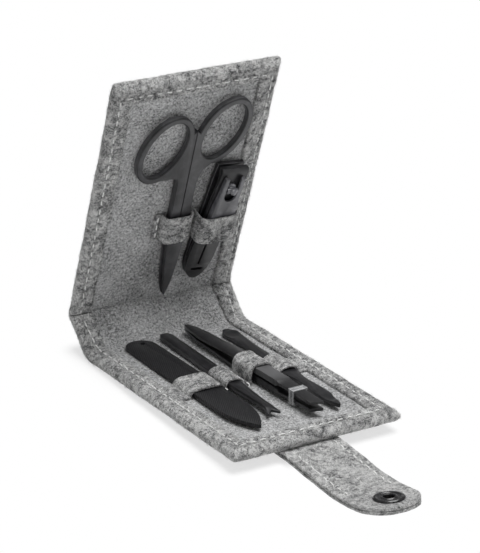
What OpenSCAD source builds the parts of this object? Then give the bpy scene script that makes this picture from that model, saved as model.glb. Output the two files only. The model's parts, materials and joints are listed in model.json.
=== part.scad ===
// Folding felt manicure case, standing open, with its six tools in their loops.
// Each panel is drawn flat in its own frame: x across, y from its fold or free edge, z = 0 on the hem.

/* [Case] */
// Width of the case along its folds
case_w = 72; // [66:1:90]
// Length of each panel, from its fold axis to its free edge
panel_l = 107; // [100:1:130]
// Distance between the two fold axes of the spine
spine_l = 17.8; // [16:0.1:24]
// Thickness of the outer felt
felt_t = 1.5; // [1.2:0.1:2.2]
// Thickness of the stiffening board
board_t = 1; // [0.6:0.1:1.5]
// Thickness of the lining
lining_t = 0.8; // [0.5:0.1:1.2]
// Thickness of the hem where the felt is turned over the lining
hem_t = 1.2; // [0.8:0.1:1.6]
// Width of the hem
hem_w = 8.5; // [7:0.1:10]
// Distance from the edge of the felt to the board inside it
board_inset = 2.4; // [1.6:0.1:4]

/* [Posture] */
// Angle of the spine above the lower panel
spine_angle = 45; // [30:1:60]
// Angle of the back panel above the lower panel
back_angle = 109; // [95:1:125]
// Angle left between the panels when the case is shut over its tools
closed_gape = 3.5; // [0:0.5:6]

/* [Strap] */
// Width of the closing strap
strap_w = 25; // [18:0.5:32]
// Thickness of each of the strap's two plies
ply_t = 1.3; // [1:0.1:1.8]
// Distance from the front edge to the sewn end of the strap under the panel
strap_root_l = 40; // [34:1:60]
// Length of the strap past its second fold
strap_tip_l = 24; // [22:0.5:34]
// Distance from the end of the strap to the middle of the snap
snap_inset = 10; // [8.5:0.5:12]
// Distance of the strap's middle from the middle of the case
strap_x = -3; // [-5:0.5:5]
// Angle at which the end of the strap rises from the table
tip_rise = 11; // [3.5:0.1:16]

/* [Snap] */
// Radius of the snap's ring and cap
snap_r = 5.8; // [4.5:0.1:6.5]
// Thickness of the snap's ring above the felt
snap_ring_t = 0.9; // [0.7:0.1:1.4]
// Thickness of the cap and of the stud's flange
snap_disc_t = 0.7; // [0.5:0.1:1]
// Radius of the stud's head
stud_r = 2; // [1.5:0.1:2.4]

/* [Loops] */
// Thickness of the felt of the loop bands
band_t = 1.1; // [0.8:0.1:1.4]
// Width of the band on the lower panel
lower_band_w = 13.1; // [10:0.1:14]
// Distance from the front edge to the band on the lower panel
lower_band_y = 49.6; // [45:0.1:55]
// Width of the band on the back panel
back_band_w = 12; // [9:0.1:13]
// Distance from the fold axis to the band on the back panel
back_band_y = 31.5; // [28:0.1:34]

/* [Scissors] */
// Distance from the tips to the pivot
blade_l = 33; // [29:0.5:37]
// Distance from the pivot to the middle of the left finger ring
left_ring_y = 40; // [36:0.5:44]
// Distance from the pivot to the middle of the right finger ring
right_ring_y = 44; // [40:0.5:48]
// Half length of a finger ring
ring_a = 15.6; // [13:0.1:16]
// Half width of a finger ring
ring_b = 11; // [9:0.1:12]
// Width of the ring's wire
ring_wire = 3.3; // [2.6:0.1:4]
// Thickness of each half of the scissors
half_t = 1.4; // [1.2:0.1:1.6]
// Radius of the rivet's shank
rivet_r = 1.3; // [1:0.1:1.6]

/* [Nail clipper] */
// Length of the clipper's arms
clipper_l = 55; // [50:0.5:60]
// Width of the clipper's arms
clipper_w = 12; // [10:0.1:12.6]
// Thickness of each arm
arm_t = 1.5; // [1.2:0.1:1.8]
// Height of the sprung jaws over the clipper's back
jaw_h = 5.9; // [5.6:0.1:6.8]
// Thickness of the lever's sheet
lever_t = 1; // [0.8:0.1:1.3]
// Height of the folded lever's top over the clipper's back
lever_top = 7.6; // [7.4:0.1:8.4]
// Width of the lever
lever_w = 10.4; // [9:0.1:11]
// Distance from the tail to the pin
pin_y = 46; // [42:0.5:50]
// Radius of the pin
pin_r = 1.3; // [1:0.1:1.5]

/* [Nail file] */
// Length of the file
file_l = 93; // [84:1:94]
// Width of the file
file_w = 12.4; // [11:0.1:13.6]
// Thickness of the file
file_t = 1.3; // [1:0.1:1.5]

/* [Cuticle trimmer] */
// Length of the trimmer
trimmer_l = 85.5; // [78:0.5:88]
// Width of the trimmer's handle
trimmer_w = 5.4; // [5:0.1:6.4]
// Thickness of the trimmer
trimmer_t = 2; // [1.6:0.1:2.2]

/* [Tweezers] */
// Length of the tweezers
tweezers_l = 92; // [84:1:94]
// Width of the arms
tweezers_w = 6; // [5:0.1:6.4]
// Thickness of each arm
tweezers_t = 1.1; // [0.9:0.1:1.3]
// Height over both arms at the grips
tweezers_h = 5.6; // [4.6:0.1:5.8]
// Thickness of the clear keeper round the arms
keeper_t = 0.5; // [0.4:0.1:0.8]
// Length of the keeper along the arms
keeper_l = 3; // [2.5:0.5:6]

/* [Cuticle pusher] */
// Length of the pusher
pusher_l = 84; // [76:1:86]
// Width of the broad spoon
spoon_w = 6.8; // [5.5:0.1:7.2]
// Thickness of the pusher
pusher_t = 1.5; // [1.2:0.1:1.8]

/* [Fits] */
// Gap between a tool and what it lies on
seat_gap = 0.2; // [0.15:0.01:0.3]
// Gap between a tool and the felt of its loop
loop_gap = 0.3; // [0.2:0.05:0.5]
// Height at which a drawn tool passes over the hem
pass_gap = 0.25; // [0.2:0.05:0.5]
// Gap round the knuckle of a fold
fold_gap = 0.3; // [0.2:0.05:0.4]
// Running gap of a pin in its hole
pin_gap = 0.05; // [0.02:0.01:0.08]
// Gap between pieces of a tool that slide past each other
slip_gap = 0.12; // [0.08:0.01:0.2]

/* [Hidden] */
$fn = 48;
eps = 0.01;
far = 200;

felt_grey = [0.62, 0.63, 0.64];
felt_dark = [0.52, 0.53, 0.54];
lining_grey = [0.70, 0.71, 0.71];
board_brown = [0.55, 0.50, 0.44];
metal_black = [0.13, 0.13, 0.14];
metal_grey = [0.22, 0.22, 0.23];

// Panels and folds
panel_t = felt_t + board_t + lining_t + hem_t;
half_panel_t = panel_t / 2;
knuckle_r = half_panel_t - 0.25;
lining_z = -hem_t;
inner_half_w = case_w / 2 - hem_w;
fill_w = case_w - 2 * board_inset;
// Board and lining stop short of the fold's hollow
fill_end = knuckle_r + fold_gap + 0.3;

// The case rests on the rear edge of the lower panel and on the sewn end of the strap
strap_t = 2 * ply_t;
rest_tilt = asin(strap_t / (panel_l - strap_root_l));
function turn(a, p) = [p[0] * cos(a) - p[1] * sin(a), p[0] * sin(a) + p[1] * cos(a)];
function rest(p) = turn(-rest_tilt, p - [panel_l, -panel_t]);

// Strap: its first fold lies just in front of the lower panel's edge, its second on the table
strap_knuckle_r = ply_t - 0.15;
strap_relief = 25;
neck_axis = [-(ply_t + fold_gap), -panel_t - ply_t];
// The flange of the stud and the socket's ring stand between strap and panel when the case is shut
stud_sunk = snap_disc_t / 2;
snap_stack = stud_sunk + snap_ring_t + 0.2;
shut_edge = [
    panel_l - panel_l * cos(closed_gape) + half_panel_t * sin(closed_gape),
    spine_l - half_panel_t + panel_l * sin(closed_gape) + half_panel_t * cos(closed_gape)
];
neck_l = shut_edge[1] + (ply_t + snap_stack) / cos(closed_gape)
    + (shut_edge[0] - neck_axis[0]) * tan(closed_gape) - neck_axis[1];
snap_reach = strap_tip_l - snap_inset;
stud_from_edge = snap_reach - (shut_edge[0] - neck_axis[0]) * cos(closed_gape)
    - (neck_axis[1] + neck_l - shut_edge[1]) * sin(closed_gape);
table_gap = 0.05;
neck_drop = rest_tilt + asin((rest(neck_axis)[1] - ply_t - table_gap) / neck_l);
tip_angle = rest_tilt - tip_rise;

// Fold axes as [y, z] in the lower panel's frame, and the middle of the whole
spine_axis = [panel_l, -half_panel_t];
back_axis = spine_axis + turn(spine_angle, [spine_l, 0]);
tip_axis = neck_axis - turn(neck_drop, [neck_l, 0]);
rear_y = rest(back_axis)[0] + knuckle_r;
front_y = rest(tip_axis - turn(tip_angle, [strap_tip_l, 0]))[0];
mid_y = (rear_y + front_y) / 2;

// Snap: the socket is held by the barrel of its cap, the stud by a post from inside the panel
barrel_r = 3.2;
barrel_wall = 0.7;
stud_h = 2.1;
post_foot_r = snap_r - 1.1;
post_foot_t = 0.5;

// Places of the tools: x across from the middle, y of the end that lies nearest the fold, turn
lower_rear_y = panel_l - 1.8;
file_place = [-15.6, lower_rear_y, -0.7];
trimmer_place = [-2.6, lower_rear_y - 0.4, -2.4];
tweezers_place = [7.2, lower_rear_y - 1.2, 0.2];
pusher_place = [20.9, lower_rear_y - 8, -2.1];
scissors_place = [3.1, 3.7, 0.95];
clipper_place = [15.1, 9.8, -6.3];
function pitch(length) = atan((hem_t + pass_gap) / length);

// Scissors
split_gap = 0.1;
shank_w = 4.3;
disc_r = 4.5;
ring_tilt = 24.7;
ring_x = ring_b + 1.4;
scissors_l = blade_l + right_ring_y + ring_a * cos(ring_tilt);
rivet_head_t = 0.5;

// Clipper: the arms part from the tail, and the folded lever lies over the upper one
tail_y = 4;
jaw_t = 1.95;
arm_slope = atan((jaw_h - 2 * arm_t - slip_gap) / (clipper_l - tail_y));
function arms_top(y) = 2 * arm_t + slip_gap + (y - tail_y) * tan(arm_slope);
lever_l = 28;
lever_tail_y = clipper_l - 3.4 - lever_l;
lever_side = 0.9;
slot_r = 2.7;
slot_l = 7.5;
pin_head_r = 2.3;
tail_l = 11;

// Tweezers: the arms are thick at the toothed grips, with a gap between them
tweezers_tip_w = 5;
grip_from = 0.5 * tweezers_l;
grip_to = 0.74 * tweezers_l;
grip_gap = 0.95;
keeper_y = 0.855 * tweezers_l;
keeper_play = 0.15;

// Loops as [middle, half width, height] inside the felt
lower_mid = lower_band_y + lower_band_w / 2;
back_mid = back_band_y + back_band_w / 2;
// Room at the side that lets an arch's round corner clear a square tool
corner_room = 0.5;
back_tab = 3.6;
function lower_x(place) = place[0] + (place[1] - lower_mid) * tan(place[2]);
function back_x(place) = place[0] - (back_mid - place[1]) * tan(place[2]);
// Height of a tool's underside at the farther edge of its band
function lower_lift(place, length) =
    seat_gap + (place[1] - lower_band_y) * tan(pitch(length));
function back_lift(place, length) =
    seat_gap + (back_band_y + back_band_w - place[1]) * tan(pitch(length));
lower_loops = [
    [lower_x(file_place), file_w / 2 + corner_room + loop_gap,
        lower_lift(file_place, file_l) + file_t + loop_gap],
    [lower_x(trimmer_place), trimmer_w / 2 + corner_room + loop_gap,
        lower_lift(trimmer_place, trimmer_l) + trimmer_t + loop_gap],
    [lower_x(tweezers_place), tweezers_w / 2 + 2 * corner_room + loop_gap,
        lower_lift(tweezers_place, tweezers_l) + tweezers_h + loop_gap],
    [lower_x(pusher_place), spoon_w / 2 + loop_gap,
        lower_lift(pusher_place, pusher_l) + pusher_t + 2 * loop_gap]
];
back_loops = [
    [back_x(scissors_place) - 0.3, disc_r + 2 * corner_room + loop_gap,
        back_lift(scissors_place, scissors_l) + 2 * half_t + rivet_head_t + loop_gap],
    [back_x(clipper_place), clipper_w / 2 + 3 * corner_room + loop_gap,
        back_lift(clipper_place, clipper_l) + lever_top + 1.5 * loop_gap]
];

// Cosine blend through a short list of [distance, value] pairs
function ease(t) = (1 - cos(180 * t)) / 2;
function blend(keys, t, i = 0) =
    i >= len(keys) - 1 ? keys[len(keys) - 1][1]
    : t <= keys[i + 1][0]
        ? keys[i][1] + (keys[i + 1][1] - keys[i][1])
            * ease(max(0, t - keys[i][0]) / (keys[i + 1][0] - keys[i][0]))
        : blend(keys, t, i + 1);

// Flat bar along y whose half width follows the keys, with an end of its own past them
module bar_outline(keys, steps, end = []) {
    last = keys[len(keys) - 1][0];
    ts = [for (i = [0:steps]) last * i / steps];
    polygon(concat(
        [for (t = ts) [blend(keys, t), t]], end,
        [for (i = [steps:-1:0]) [-blend(keys, ts[i]), ts[i]]]
    ));
}

// Half of a rounded box shape, standing on the x axis
function arch(middle, half_w, height, n = 8, steps = 20) = [
    for (i = [0:steps]) let (a = 180 * i / steps)
        [middle + half_w * sign(cos(a)) * pow(abs(cos(a)), 2 / n), height * pow(sin(a), 2 / n)]
];

function oval(a, b, tilt, steps = 56) = [
    for (i = [0:steps - 1]) let (p = [b * cos(360 * i / steps), a * sin(360 * i / steps)])
        turn(-tilt, p)
];

// Frames
module stand() {
    translate([0, -mid_y, 0]) rotate([-rest_tilt, 0, 0])
        translate([0, -panel_l, panel_t]) children();
}
module at_axis(axis, angle) {
    stand() translate([0, axis[0], axis[1]]) rotate([angle, 0, 0]) children();
}
module on_spine() { at_axis(spine_axis, spine_angle) translate([0, 0, half_panel_t]) children(); }
module on_back() { at_axis(back_axis, back_angle) translate([0, 0, half_panel_t]) children(); }
module on_neck() { translate([strap_x, 0, 0]) at_axis(neck_axis, neck_drop) children(); }
module on_tip() { translate([strap_x, 0, 0]) at_axis(tip_axis, tip_angle) children(); }

// A lower tool lies with its rear end by the fold, and its y runs to the front and slightly up
module lay_lower(place, length) {
    stand() translate([place[0], place[1], lining_z + seat_gap]) rotate([0, 0, place[2]])
        rotate([-pitch(length), 0, 0]) rotate([0, 0, 180]) children();
}
// A tool of the back panel stands by the fold, and its y runs up
module lay_back(place, length) {
    on_back() translate([place[0], place[1], lining_z + seat_gap]) rotate([0, 0, place[2]])
        rotate([pitch(length), 0, 0]) children();
}

// Panels: a slab with round edges, ended at a fold by a mitre and a hollow for the knuckle
module slab(length, free_end = false) {
    side = case_w / 2 - half_panel_t;
    start = free_end ? half_panel_t : 0;
    translate([0, 0, -half_panel_t]) {
        translate([-side, start, -half_panel_t]) cube([2 * side, length - start, panel_t]);
        for (s = [-side, side]) {
            translate([s, start, 0]) rotate([-90, 0, 0]) cylinder(r = half_panel_t, h = length - start);
            if (free_end) translate([s, start, 0]) sphere(r = half_panel_t);
        }
        if (free_end) translate([-side, start, 0]) rotate([0, 90, 0])
            cylinder(r = half_panel_t, h = 2 * side);
    }
}
// What a fold takes off the end of a panel: above the axis up to 45 degrees, and round the knuckle
module fold_cut() {
    cut = fold_gap / 2;
    rotate([90, 0, 90]) linear_extrude(case_w + 2, center = true)
        polygon([[-cut, -far], [-cut, 0], [-cut - far, far], [far, far], [far, -far]]);
}
module fold_hollow() {
    rotate([0, 90, 0]) cylinder(r = knuckle_r + fold_gap, h = case_w + 2, center = true);
}
module knuckle() {
    rotate([0, 90, 0]) cylinder(r = knuckle_r, h = case_w - 2 * half_panel_t, center = true);
}
// Pocket for board and lining, and the window inside the hem
module pocket(from, to, window_from) {
    translate([-fill_w / 2, from, lining_z - lining_t - board_t])
        cube([fill_w, to - from, lining_t + board_t]);
    translate([-inner_half_w, window_from, lining_z - eps])
        cube([2 * inner_half_w, to - window_from, far]);
}
module lining_sheet(from, to) {
    translate([-fill_w / 2, from, lining_z - lining_t]) cube([fill_w, to - from, lining_t]);
}
module board_sheet(from, to) {
    translate([-fill_w / 2, from, lining_z - lining_t - board_t]) cube([fill_w, to - from, board_t]);
}

module lower_cover() {
    color(felt_grey) stand() difference() {
        slab(panel_l, true);
        pocket(board_inset, far, hem_w);
        translate([0, panel_l, -half_panel_t]) { fold_cut(); fold_hollow(); }
    }
}
module lower_board() {
    color(board_brown) stand() board_sheet(board_inset, panel_l - fill_end);
}
module lower_lining() {
    color(lining_grey) stand() lining_sheet(board_inset, panel_l - fill_end);
}

module spine_cover() {
    color(felt_grey) on_spine() {
        difference() {
            slab(spine_l);
            pocket(-far, far, -far);
            translate([0, spine_l, -half_panel_t]) fold_cut();
            translate([0, 0, -half_panel_t]) mirror([0, 1, 0]) fold_cut();
        }
        for (y = [0, spine_l]) translate([0, y, -half_panel_t]) knuckle();
    }
}
module spine_board() {
    color(board_brown) on_spine() board_sheet(fill_end, spine_l - fill_end);
}
module spine_lining() {
    color(lining_grey) on_spine() lining_sheet(fill_end, spine_l - fill_end);
}

// The back panel's y runs from its fold to its free edge, so its slab is turned end for end
module back_cover() {
    color(felt_grey) on_back() difference() {
        translate([0, panel_l, 0]) mirror([0, 1, 0]) slab(panel_l, true);
        translate([0, panel_l, 0]) mirror([0, 1, 0]) pocket(board_inset, far, hem_w);
        translate([0, 0, -half_panel_t]) { mirror([0, 1, 0]) fold_cut(); fold_hollow(); }
        stud_place() translate([0, 0, -stud_sunk]) cylinder(r = snap_r, h = far);
        stud_place() cylinder(r = rivet_r, h = 3 * felt_t, center = true);
    }
}
module back_board() {
    color(board_brown) on_back() difference() {
        board_sheet(fill_end, panel_l - board_inset);
        stud_place() translate([0, 0, -felt_t - post_foot_t - eps]) cylinder(r = post_foot_r + 0.1, h = far);
    }
}
module back_lining() {
    color(lining_grey) on_back() lining_sheet(fill_end, panel_l - board_inset);
}

// Loop bands: a felt strip that rises over each tool and is stitched down between them
module band(from, to, width, loops) {
    rotate([90, 0, 0]) linear_extrude(width, center = true) difference() {
        union() {
            translate([from, 0]) square([to - from, band_t]);
            for (l = loops) polygon(arch(l[0], l[1] + band_t, l[2] + band_t));
        }
        for (l = loops) polygon(arch(l[0], l[1], l[2]));
    }
}
module lower_loop_band() {
    color(felt_dark) stand() translate([0, lower_mid, lining_z])
        band(-inner_half_w, inner_half_w, lower_band_w, lower_loops);
}
module back_loop_band() {
    color(felt_dark) on_back() translate([0, back_mid, lining_z])
        band(back_loops[0][0] - back_loops[0][1] - back_tab, inner_half_w, back_band_w, back_loops);
}

// Strap: two plies of felt sewn together; x across, y towards its end is negative, z up from its middle
module ply(side) {
    intersection() {
        children();
        translate([0, 0, side * far / 2]) cube([far, 3 * far, far], center = true);
    }
}
module strap_hollow() {
    rotate([0, 90, 0]) cylinder(r = strap_knuckle_r + fold_gap / 2, h = strap_w + 2, center = true);
}
module strap_knuckle() {
    rotate([0, 90, 0]) cylinder(r = strap_knuckle_r, h = strap_w, center = true);
}
// What a fold takes off a ply: half the closing turn on the upper side and a small relief below
module strap_mitre() {
    cut = fold_gap / 4;
    rotate([90, 0, 90]) linear_extrude(strap_w + 2, center = true) polygon([
        [cut + far * tan(strap_relief), -far], [cut, 0],
        [cut + far * tan(45 + closed_gape / 2), far], [-far, far], [-far, -far]
    ]);
}
module strap_block(from, to) {
    translate([-strap_w / 2, from, -ply_t]) cube([strap_w, to - from, strap_t]);
}
module strap_root(side) {
    stand() translate([strap_x, 0, neck_axis[1]]) ply(side) difference() {
        strap_block(neck_axis[0], strap_root_l);
        translate([0, neck_axis[0], 0]) { strap_hollow(); strap_mitre(); }
    }
}
module strap_neck(side) {
    on_neck() ply(side) union() {
        difference() {
            strap_block(-neck_l, 0);
            mirror([0, 1, 0]) strap_mitre();
            translate([0, -neck_l, 0]) strap_mitre();
        }
        strap_knuckle();
        translate([0, -neck_l, 0]) strap_knuckle();
    }
}
module strap_tip(side) {
    on_tip() ply(side) difference() {
        union() {
            strap_block(-strap_tip_l + strap_w / 2, 0);
            translate([0, -strap_tip_l + strap_w / 2, -ply_t]) cylinder(d = strap_w, h = strap_t);
        }
        strap_hollow();
        mirror([0, 1, 0]) strap_mitre();
        translate([0, -snap_reach, 0]) cylinder(r = barrel_r, h = far, center = true);
    }
}
module strap_root_upper_ply() { color(felt_grey) strap_root(1); }
module strap_root_lower_ply() { color(felt_dark) strap_root(-1); }
module strap_neck_upper_ply() { color(felt_grey) strap_neck(1); }
module strap_neck_lower_ply() { color(felt_dark) strap_neck(-1); }
module strap_tip_upper_ply() { color(felt_grey) strap_tip(1); }
module strap_tip_lower_ply() { color(felt_dark) strap_tip(-1); }

// Snap: a sprung ring on the strap's inner side, held by the barrel of a cap on its outer side
module snap_socket() {
    bore = stud_r + 0.2;
    color(metal_black) on_tip() translate([0, -snap_reach, ply_t]) rotate_extrude()
        polygon([
            [bore, 0], [snap_r - 0.2, 0], [snap_r, 0.2], [snap_r, 0.5 * snap_ring_t],
            [snap_r - 0.5, snap_ring_t], [snap_r - 1.2, snap_ring_t], [snap_r - 1.7, 0.6 * snap_ring_t],
            [bore + 1, 0.6 * snap_ring_t], [bore + 0.6, snap_ring_t], [bore + 0.2, snap_ring_t],
            [bore, 0.8 * snap_ring_t]
        ]);
}
module snap_cap() {
    color(metal_black) on_tip() translate([0, -snap_reach, -ply_t]) rotate_extrude()
        polygon([
            [0, -snap_disc_t], [snap_r - 1, -snap_disc_t], [snap_r, -0.3 * snap_disc_t], [snap_r, 0],
            [barrel_r, 0], [barrel_r, strap_t], [barrel_r - barrel_wall, strap_t],
            [barrel_r - barrel_wall, 0], [0, 0]
        ]);
}
// The stud faces out of the back panel, z away from the felt
module stud_place() {
    translate([strap_x, panel_l - stud_from_edge, -panel_t]) rotate([0, 180, 0]) children();
}
module snap_stud() {
    color(metal_black) on_back() stud_place() translate([0, 0, -stud_sunk]) rotate_extrude()
        polygon([
            [rivet_r + pin_gap, 0], [snap_r - 0.1, 0], [snap_r - 0.1, 0.6 * snap_disc_t],
            [snap_r - 0.7, snap_disc_t], [stud_r - 0.2, snap_disc_t],
            [stud_r - 0.3, snap_disc_t + 0.5], [stud_r, snap_disc_t + 1], [stud_r, stud_h],
            [stud_r - 0.5, stud_h + 0.4], [rivet_r + pin_gap, stud_h + 0.4]
        ]);
}
module snap_post() {
    shank = felt_t + stud_h - stud_sunk + 0.2;
    color(metal_grey) on_back() stud_place() translate([0, 0, -felt_t]) {
        translate([0, 0, -post_foot_t]) cylinder(r = post_foot_r, h = post_foot_t);
        cylinder(r = rivet_r, h = shank);
    }
}

// Scissors: origin at the tips, y up through the pivot, z up from the back
module blade_outline(side) {
    edge = [[0, 0.15], [4, 1.1], [14, 2.5], [26, 3.5], [blade_l, 3.7]];
    back = [[0, 0.15], [6, 1.9], [16, 3.2], [26, 4.0], [blade_l, 4.2]];
    polygon(concat(
        [for (k = edge) [side * k[1], k[0]]],
        [for (i = [len(back) - 1:-1:0]) [-side * back[i][1], back[i][0]]]
    ));
}
module ring_outline(x, y, inset) {
    translate([x, y]) polygon(oval(ring_a - inset, ring_b - inset, ring_tilt));
}
// Shank, web and finger ring of one half; side is -1 on the left
module handle_outline(side) {
    ring_mid = [side * ring_x, blade_l + (side < 0 ? left_ring_y : right_ring_y)];
    web = side < 0
        ? [[-15.5, -14.6], [-7.2, -14.2], [-5, -14.6], [-shank_w, -16], [-shank_w, -20], [0, -20], [0, 7]]
        : [[14, -14.4], [9.4, -14.6], [6.2, -16.4], [4.9, -19.4], [shank_w, -23], [0, -23], [0, 3]];
    difference() {
        union() {
            ring_outline(ring_mid[0], ring_mid[1], 0);
            polygon([for (p = web) [p[0], ring_mid[1] + p[1]]]);
            translate([side < 0 ? -shank_w : 0, blade_l])
                square([shank_w, ring_mid[1] - blade_l - 14]);
        }
        ring_outline(ring_mid[0], ring_mid[1], ring_wire);
        translate([side < 0 ? -split_gap : split_gap - far, 0]) square([far, far]);
    }
}
module scissors_half(side) {
    own_z = side < 0 ? half_t + slip_gap / 2 : 0;
    other_z = side < 0 ? -eps : half_t - slip_gap / 2;
    layer = half_t - slip_gap / 2;
    pivot = [0, blade_l, 0];
    difference() {
        union() {
            linear_extrude(2 * half_t) handle_outline(side);
            translate([0, 0, own_z]) linear_extrude(layer) {
                blade_outline(side);
                translate([0, blade_l]) circle(r = disc_r);
            }
        }
        translate([0, 0, other_z]) translate(pivot) cylinder(r = disc_r + 0.6, h = half_t + slip_gap / 2 + eps);
        translate(pivot) cylinder(r = rivet_r + (side < 0 ? pin_gap : 0), h = far, center = true);
    }
}
module scissors_right_half() {
    color(metal_black) lay_back(scissors_place, scissors_l) scissors_half(1);
}
module scissors_left_half() {
    color(metal_grey) lay_back(scissors_place, scissors_l) scissors_half(-1);
}
module scissors_rivet() {
    color(metal_black) lay_back(scissors_place, scissors_l) translate([0, blade_l, 0]) {
        cylinder(r = rivet_r, h = 2 * half_t + rivet_head_t);
        translate([0, 0, 2 * half_t + pin_gap]) cylinder(r1 = 2.2, r2 = 1.7, h = rivet_head_t);
    }
}

// Nail clipper: origin at the tail, y towards the jaws, z up from its back
module clipper_outline() {
    polygon(concat(
        [for (a = [180:7.5:360]) [clipper_w / 2 * cos(a), tail_l * (1 + sin(a))]],
        [[clipper_w / 2, clipper_l], [-clipper_w / 2, clipper_l]]
    ));
}
module side_profile(points) {
    rotate([90, 0, 90]) linear_extrude(clipper_w + 2, center = true) polygon(points);
}
module clipper_lower_arm() {
    color(metal_black) lay_back(clipper_place, clipper_l) difference() {
        intersection() {
            linear_extrude(far) clipper_outline();
            side_profile([
                [-1, 0], [clipper_l, 0], [clipper_l, jaw_t - 0.15], [clipper_l - 0.5, jaw_t],
                [clipper_l - 2.2, arm_t + 0.2], [clipper_l - 5, arm_t], [-1, arm_t]
            ]);
        }
        translate([0, pin_y, 0]) cylinder(r = pin_r, h = far, center = true);
    }
}
module clipper_upper_arm() {
    lift = arm_t + slip_gap;
    end_z = jaw_h - arm_t;
    color(metal_grey) lay_back(clipper_place, clipper_l) difference() {
        intersection() {
            linear_extrude(far) clipper_outline();
            side_profile([
                [-1, lift], [tail_y, lift], [clipper_l - 5, end_z], [clipper_l - 2.2, end_z - 0.7],
                [clipper_l - 0.5, end_z - 1.3], [clipper_l, end_z - 1.1],
                [clipper_l, end_z + 0.9], [clipper_l - 1.5, jaw_h],
                [tail_y, lift + arm_t], [-1, lift + arm_t]
            ]);
        }
        translate([0, pin_y, 0]) cylinder(r = pin_r + 0.5, h = far, center = true);
        translate([-0.5, 6.8, 0]) cube([1, 11, far]);
        translate([-2.5, 3.9, 0]) cube([5, 1.3, far]);
    }
}
// The lever is a trough of sheet, folded back along the arms, with a slot round the pin
module lever_outline(inset) {
    half = lever_w / 2 - inset;
    bar_outline([[0, half - 1.6], [2.4, half], [lever_l - 14, half], [lever_l - 9, half - 0.6],
        [lever_l, half - 0.8]], 18);
}
module clipper_lever() {
    slot_y = pin_y - 2.4;
    color(metal_black) lay_back(clipper_place, clipper_l) difference() {
        intersection() {
            translate([0, lever_tail_y, 0]) linear_extrude(lever_top) lever_outline(0);
            side_profile([
                [0, arms_top(0) + slip_gap], [clipper_l, arms_top(clipper_l) + slip_gap],
                [clipper_l, far], [0, far]
            ]);
        }
        translate([0, lever_tail_y, 0]) linear_extrude(lever_top - lever_t) lever_outline(lever_side);
        for (y = [slot_y, slot_y + slot_l])
            translate([0, y, 0]) cylinder(r = slot_r, h = far, center = true);
        translate([-slot_r, slot_y, 0]) cube([2 * slot_r, slot_l, far]);
    }
}
// The pin stands in the lower arm; its collar, cross bar and ball show in the lever's slot
module clipper_pin() {
    collar_z = arms_top(pin_y + pin_head_r) + slip_gap;
    bar_r = 0.95;
    ball_r = 1.35;
    bar_z = collar_z + 1.6;
    color(metal_grey) lay_back(clipper_place, clipper_l) translate([0, pin_y, 0]) {
        cylinder(r = pin_r, h = bar_z);
        translate([0, 0, collar_z]) cylinder(r = pin_head_r, h = 0.7);
        translate([0, 0, bar_z]) {
            rotate([0, 90, 0]) cylinder(r = bar_r, h = 2 * pin_head_r, center = true, $fn = 24);
            translate([0, 0, bar_r]) sphere(r = ball_r, $fn = 28);
        }
    }
}

// Nail file: origin at the rear end, y towards the tip
module nail_file() {
    nose = 20;
    half = file_w / 2;
    nose_r = (nose * nose + half * half) / (2 * half);
    color(metal_black) lay_lower(file_place, file_l) difference() {
        linear_extrude(file_t) union() {
            translate([0, half]) circle(r = half);
            translate([-half, half]) square([file_w, file_l - nose - half]);
            intersection() {
                translate([half - nose_r, file_l - nose]) circle(r = nose_r, $fn = 180);
                translate([nose_r - half, file_l - nose]) circle(r = nose_r, $fn = 180);
                translate([-half, file_l - nose - eps]) square([file_w, nose]);
            }
        }
        translate([-1.6, 4, 0]) cylinder(r = 1, h = far, center = true, $fn = 24);
    }
}

// Cuticle trimmer: a slim bar that ends in a forked blade
module cuticle_trimmer() {
    half = trimmer_w / 2;
    color(metal_black) lay_lower(trimmer_place, trimmer_l) {
        difference() {
            linear_extrude(trimmer_t) bar_outline(
                [[0, 1.6], [2.5, half], [50, half], [trimmer_l - 8, 1.6], [trimmer_l - 4, 1.8]], 32,
                [
                    [half, trimmer_l - 1], [2.4, trimmer_l], [0, trimmer_l - 2.6],
                    [-2.4, trimmer_l], [-half, trimmer_l - 1]
                ]
            );
            translate([-half - 1, trimmer_l - 5, trimmer_t]) rotate([-14, 0, 0])
                cube([trimmer_w + 2, 10, 3]);
        }
    }
}

// Tweezers: the two arms part from the rear end, bow out to the grips and turn in to the tips
function arm_spread(t) = blend([
    [0, tweezers_t], [12, tweezers_t + 0.35], [grip_from, tweezers_h / 2],
    [grip_to, tweezers_h / 2], [grip_to + 2.5, tweezers_h / 2 - 0.5], [tweezers_l, tweezers_h / 2 - 0.9]
], t);
function arm_thick(t) = blend([
    [0, tweezers_t], [grip_from - 5, tweezers_t], [grip_from, (tweezers_h - grip_gap) / 2],
    [grip_to, (tweezers_h - grip_gap) / 2], [grip_to + 2, tweezers_t], [tweezers_l, tweezers_t]
], t);
module tweezers_outline() {
    difference() {
        bar_outline([
            [0, 0.9], [5, 2.1], [14, tweezers_w / 2], [grip_to, tweezers_w / 2],
            [keeper_y, 0.48 * tweezers_tip_w], [tweezers_l, tweezers_tip_w / 2]
        ], 30);
        translate([-3, tweezers_l]) rotate(-16) square([8, 4]);
        for (s = [-1, 1], i = [0:13]) translate([s * tweezers_w / 2, grip_to - 1 - 0.85 * i])
            rotate(45) square(0.5, center = true);
    }
}
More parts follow.
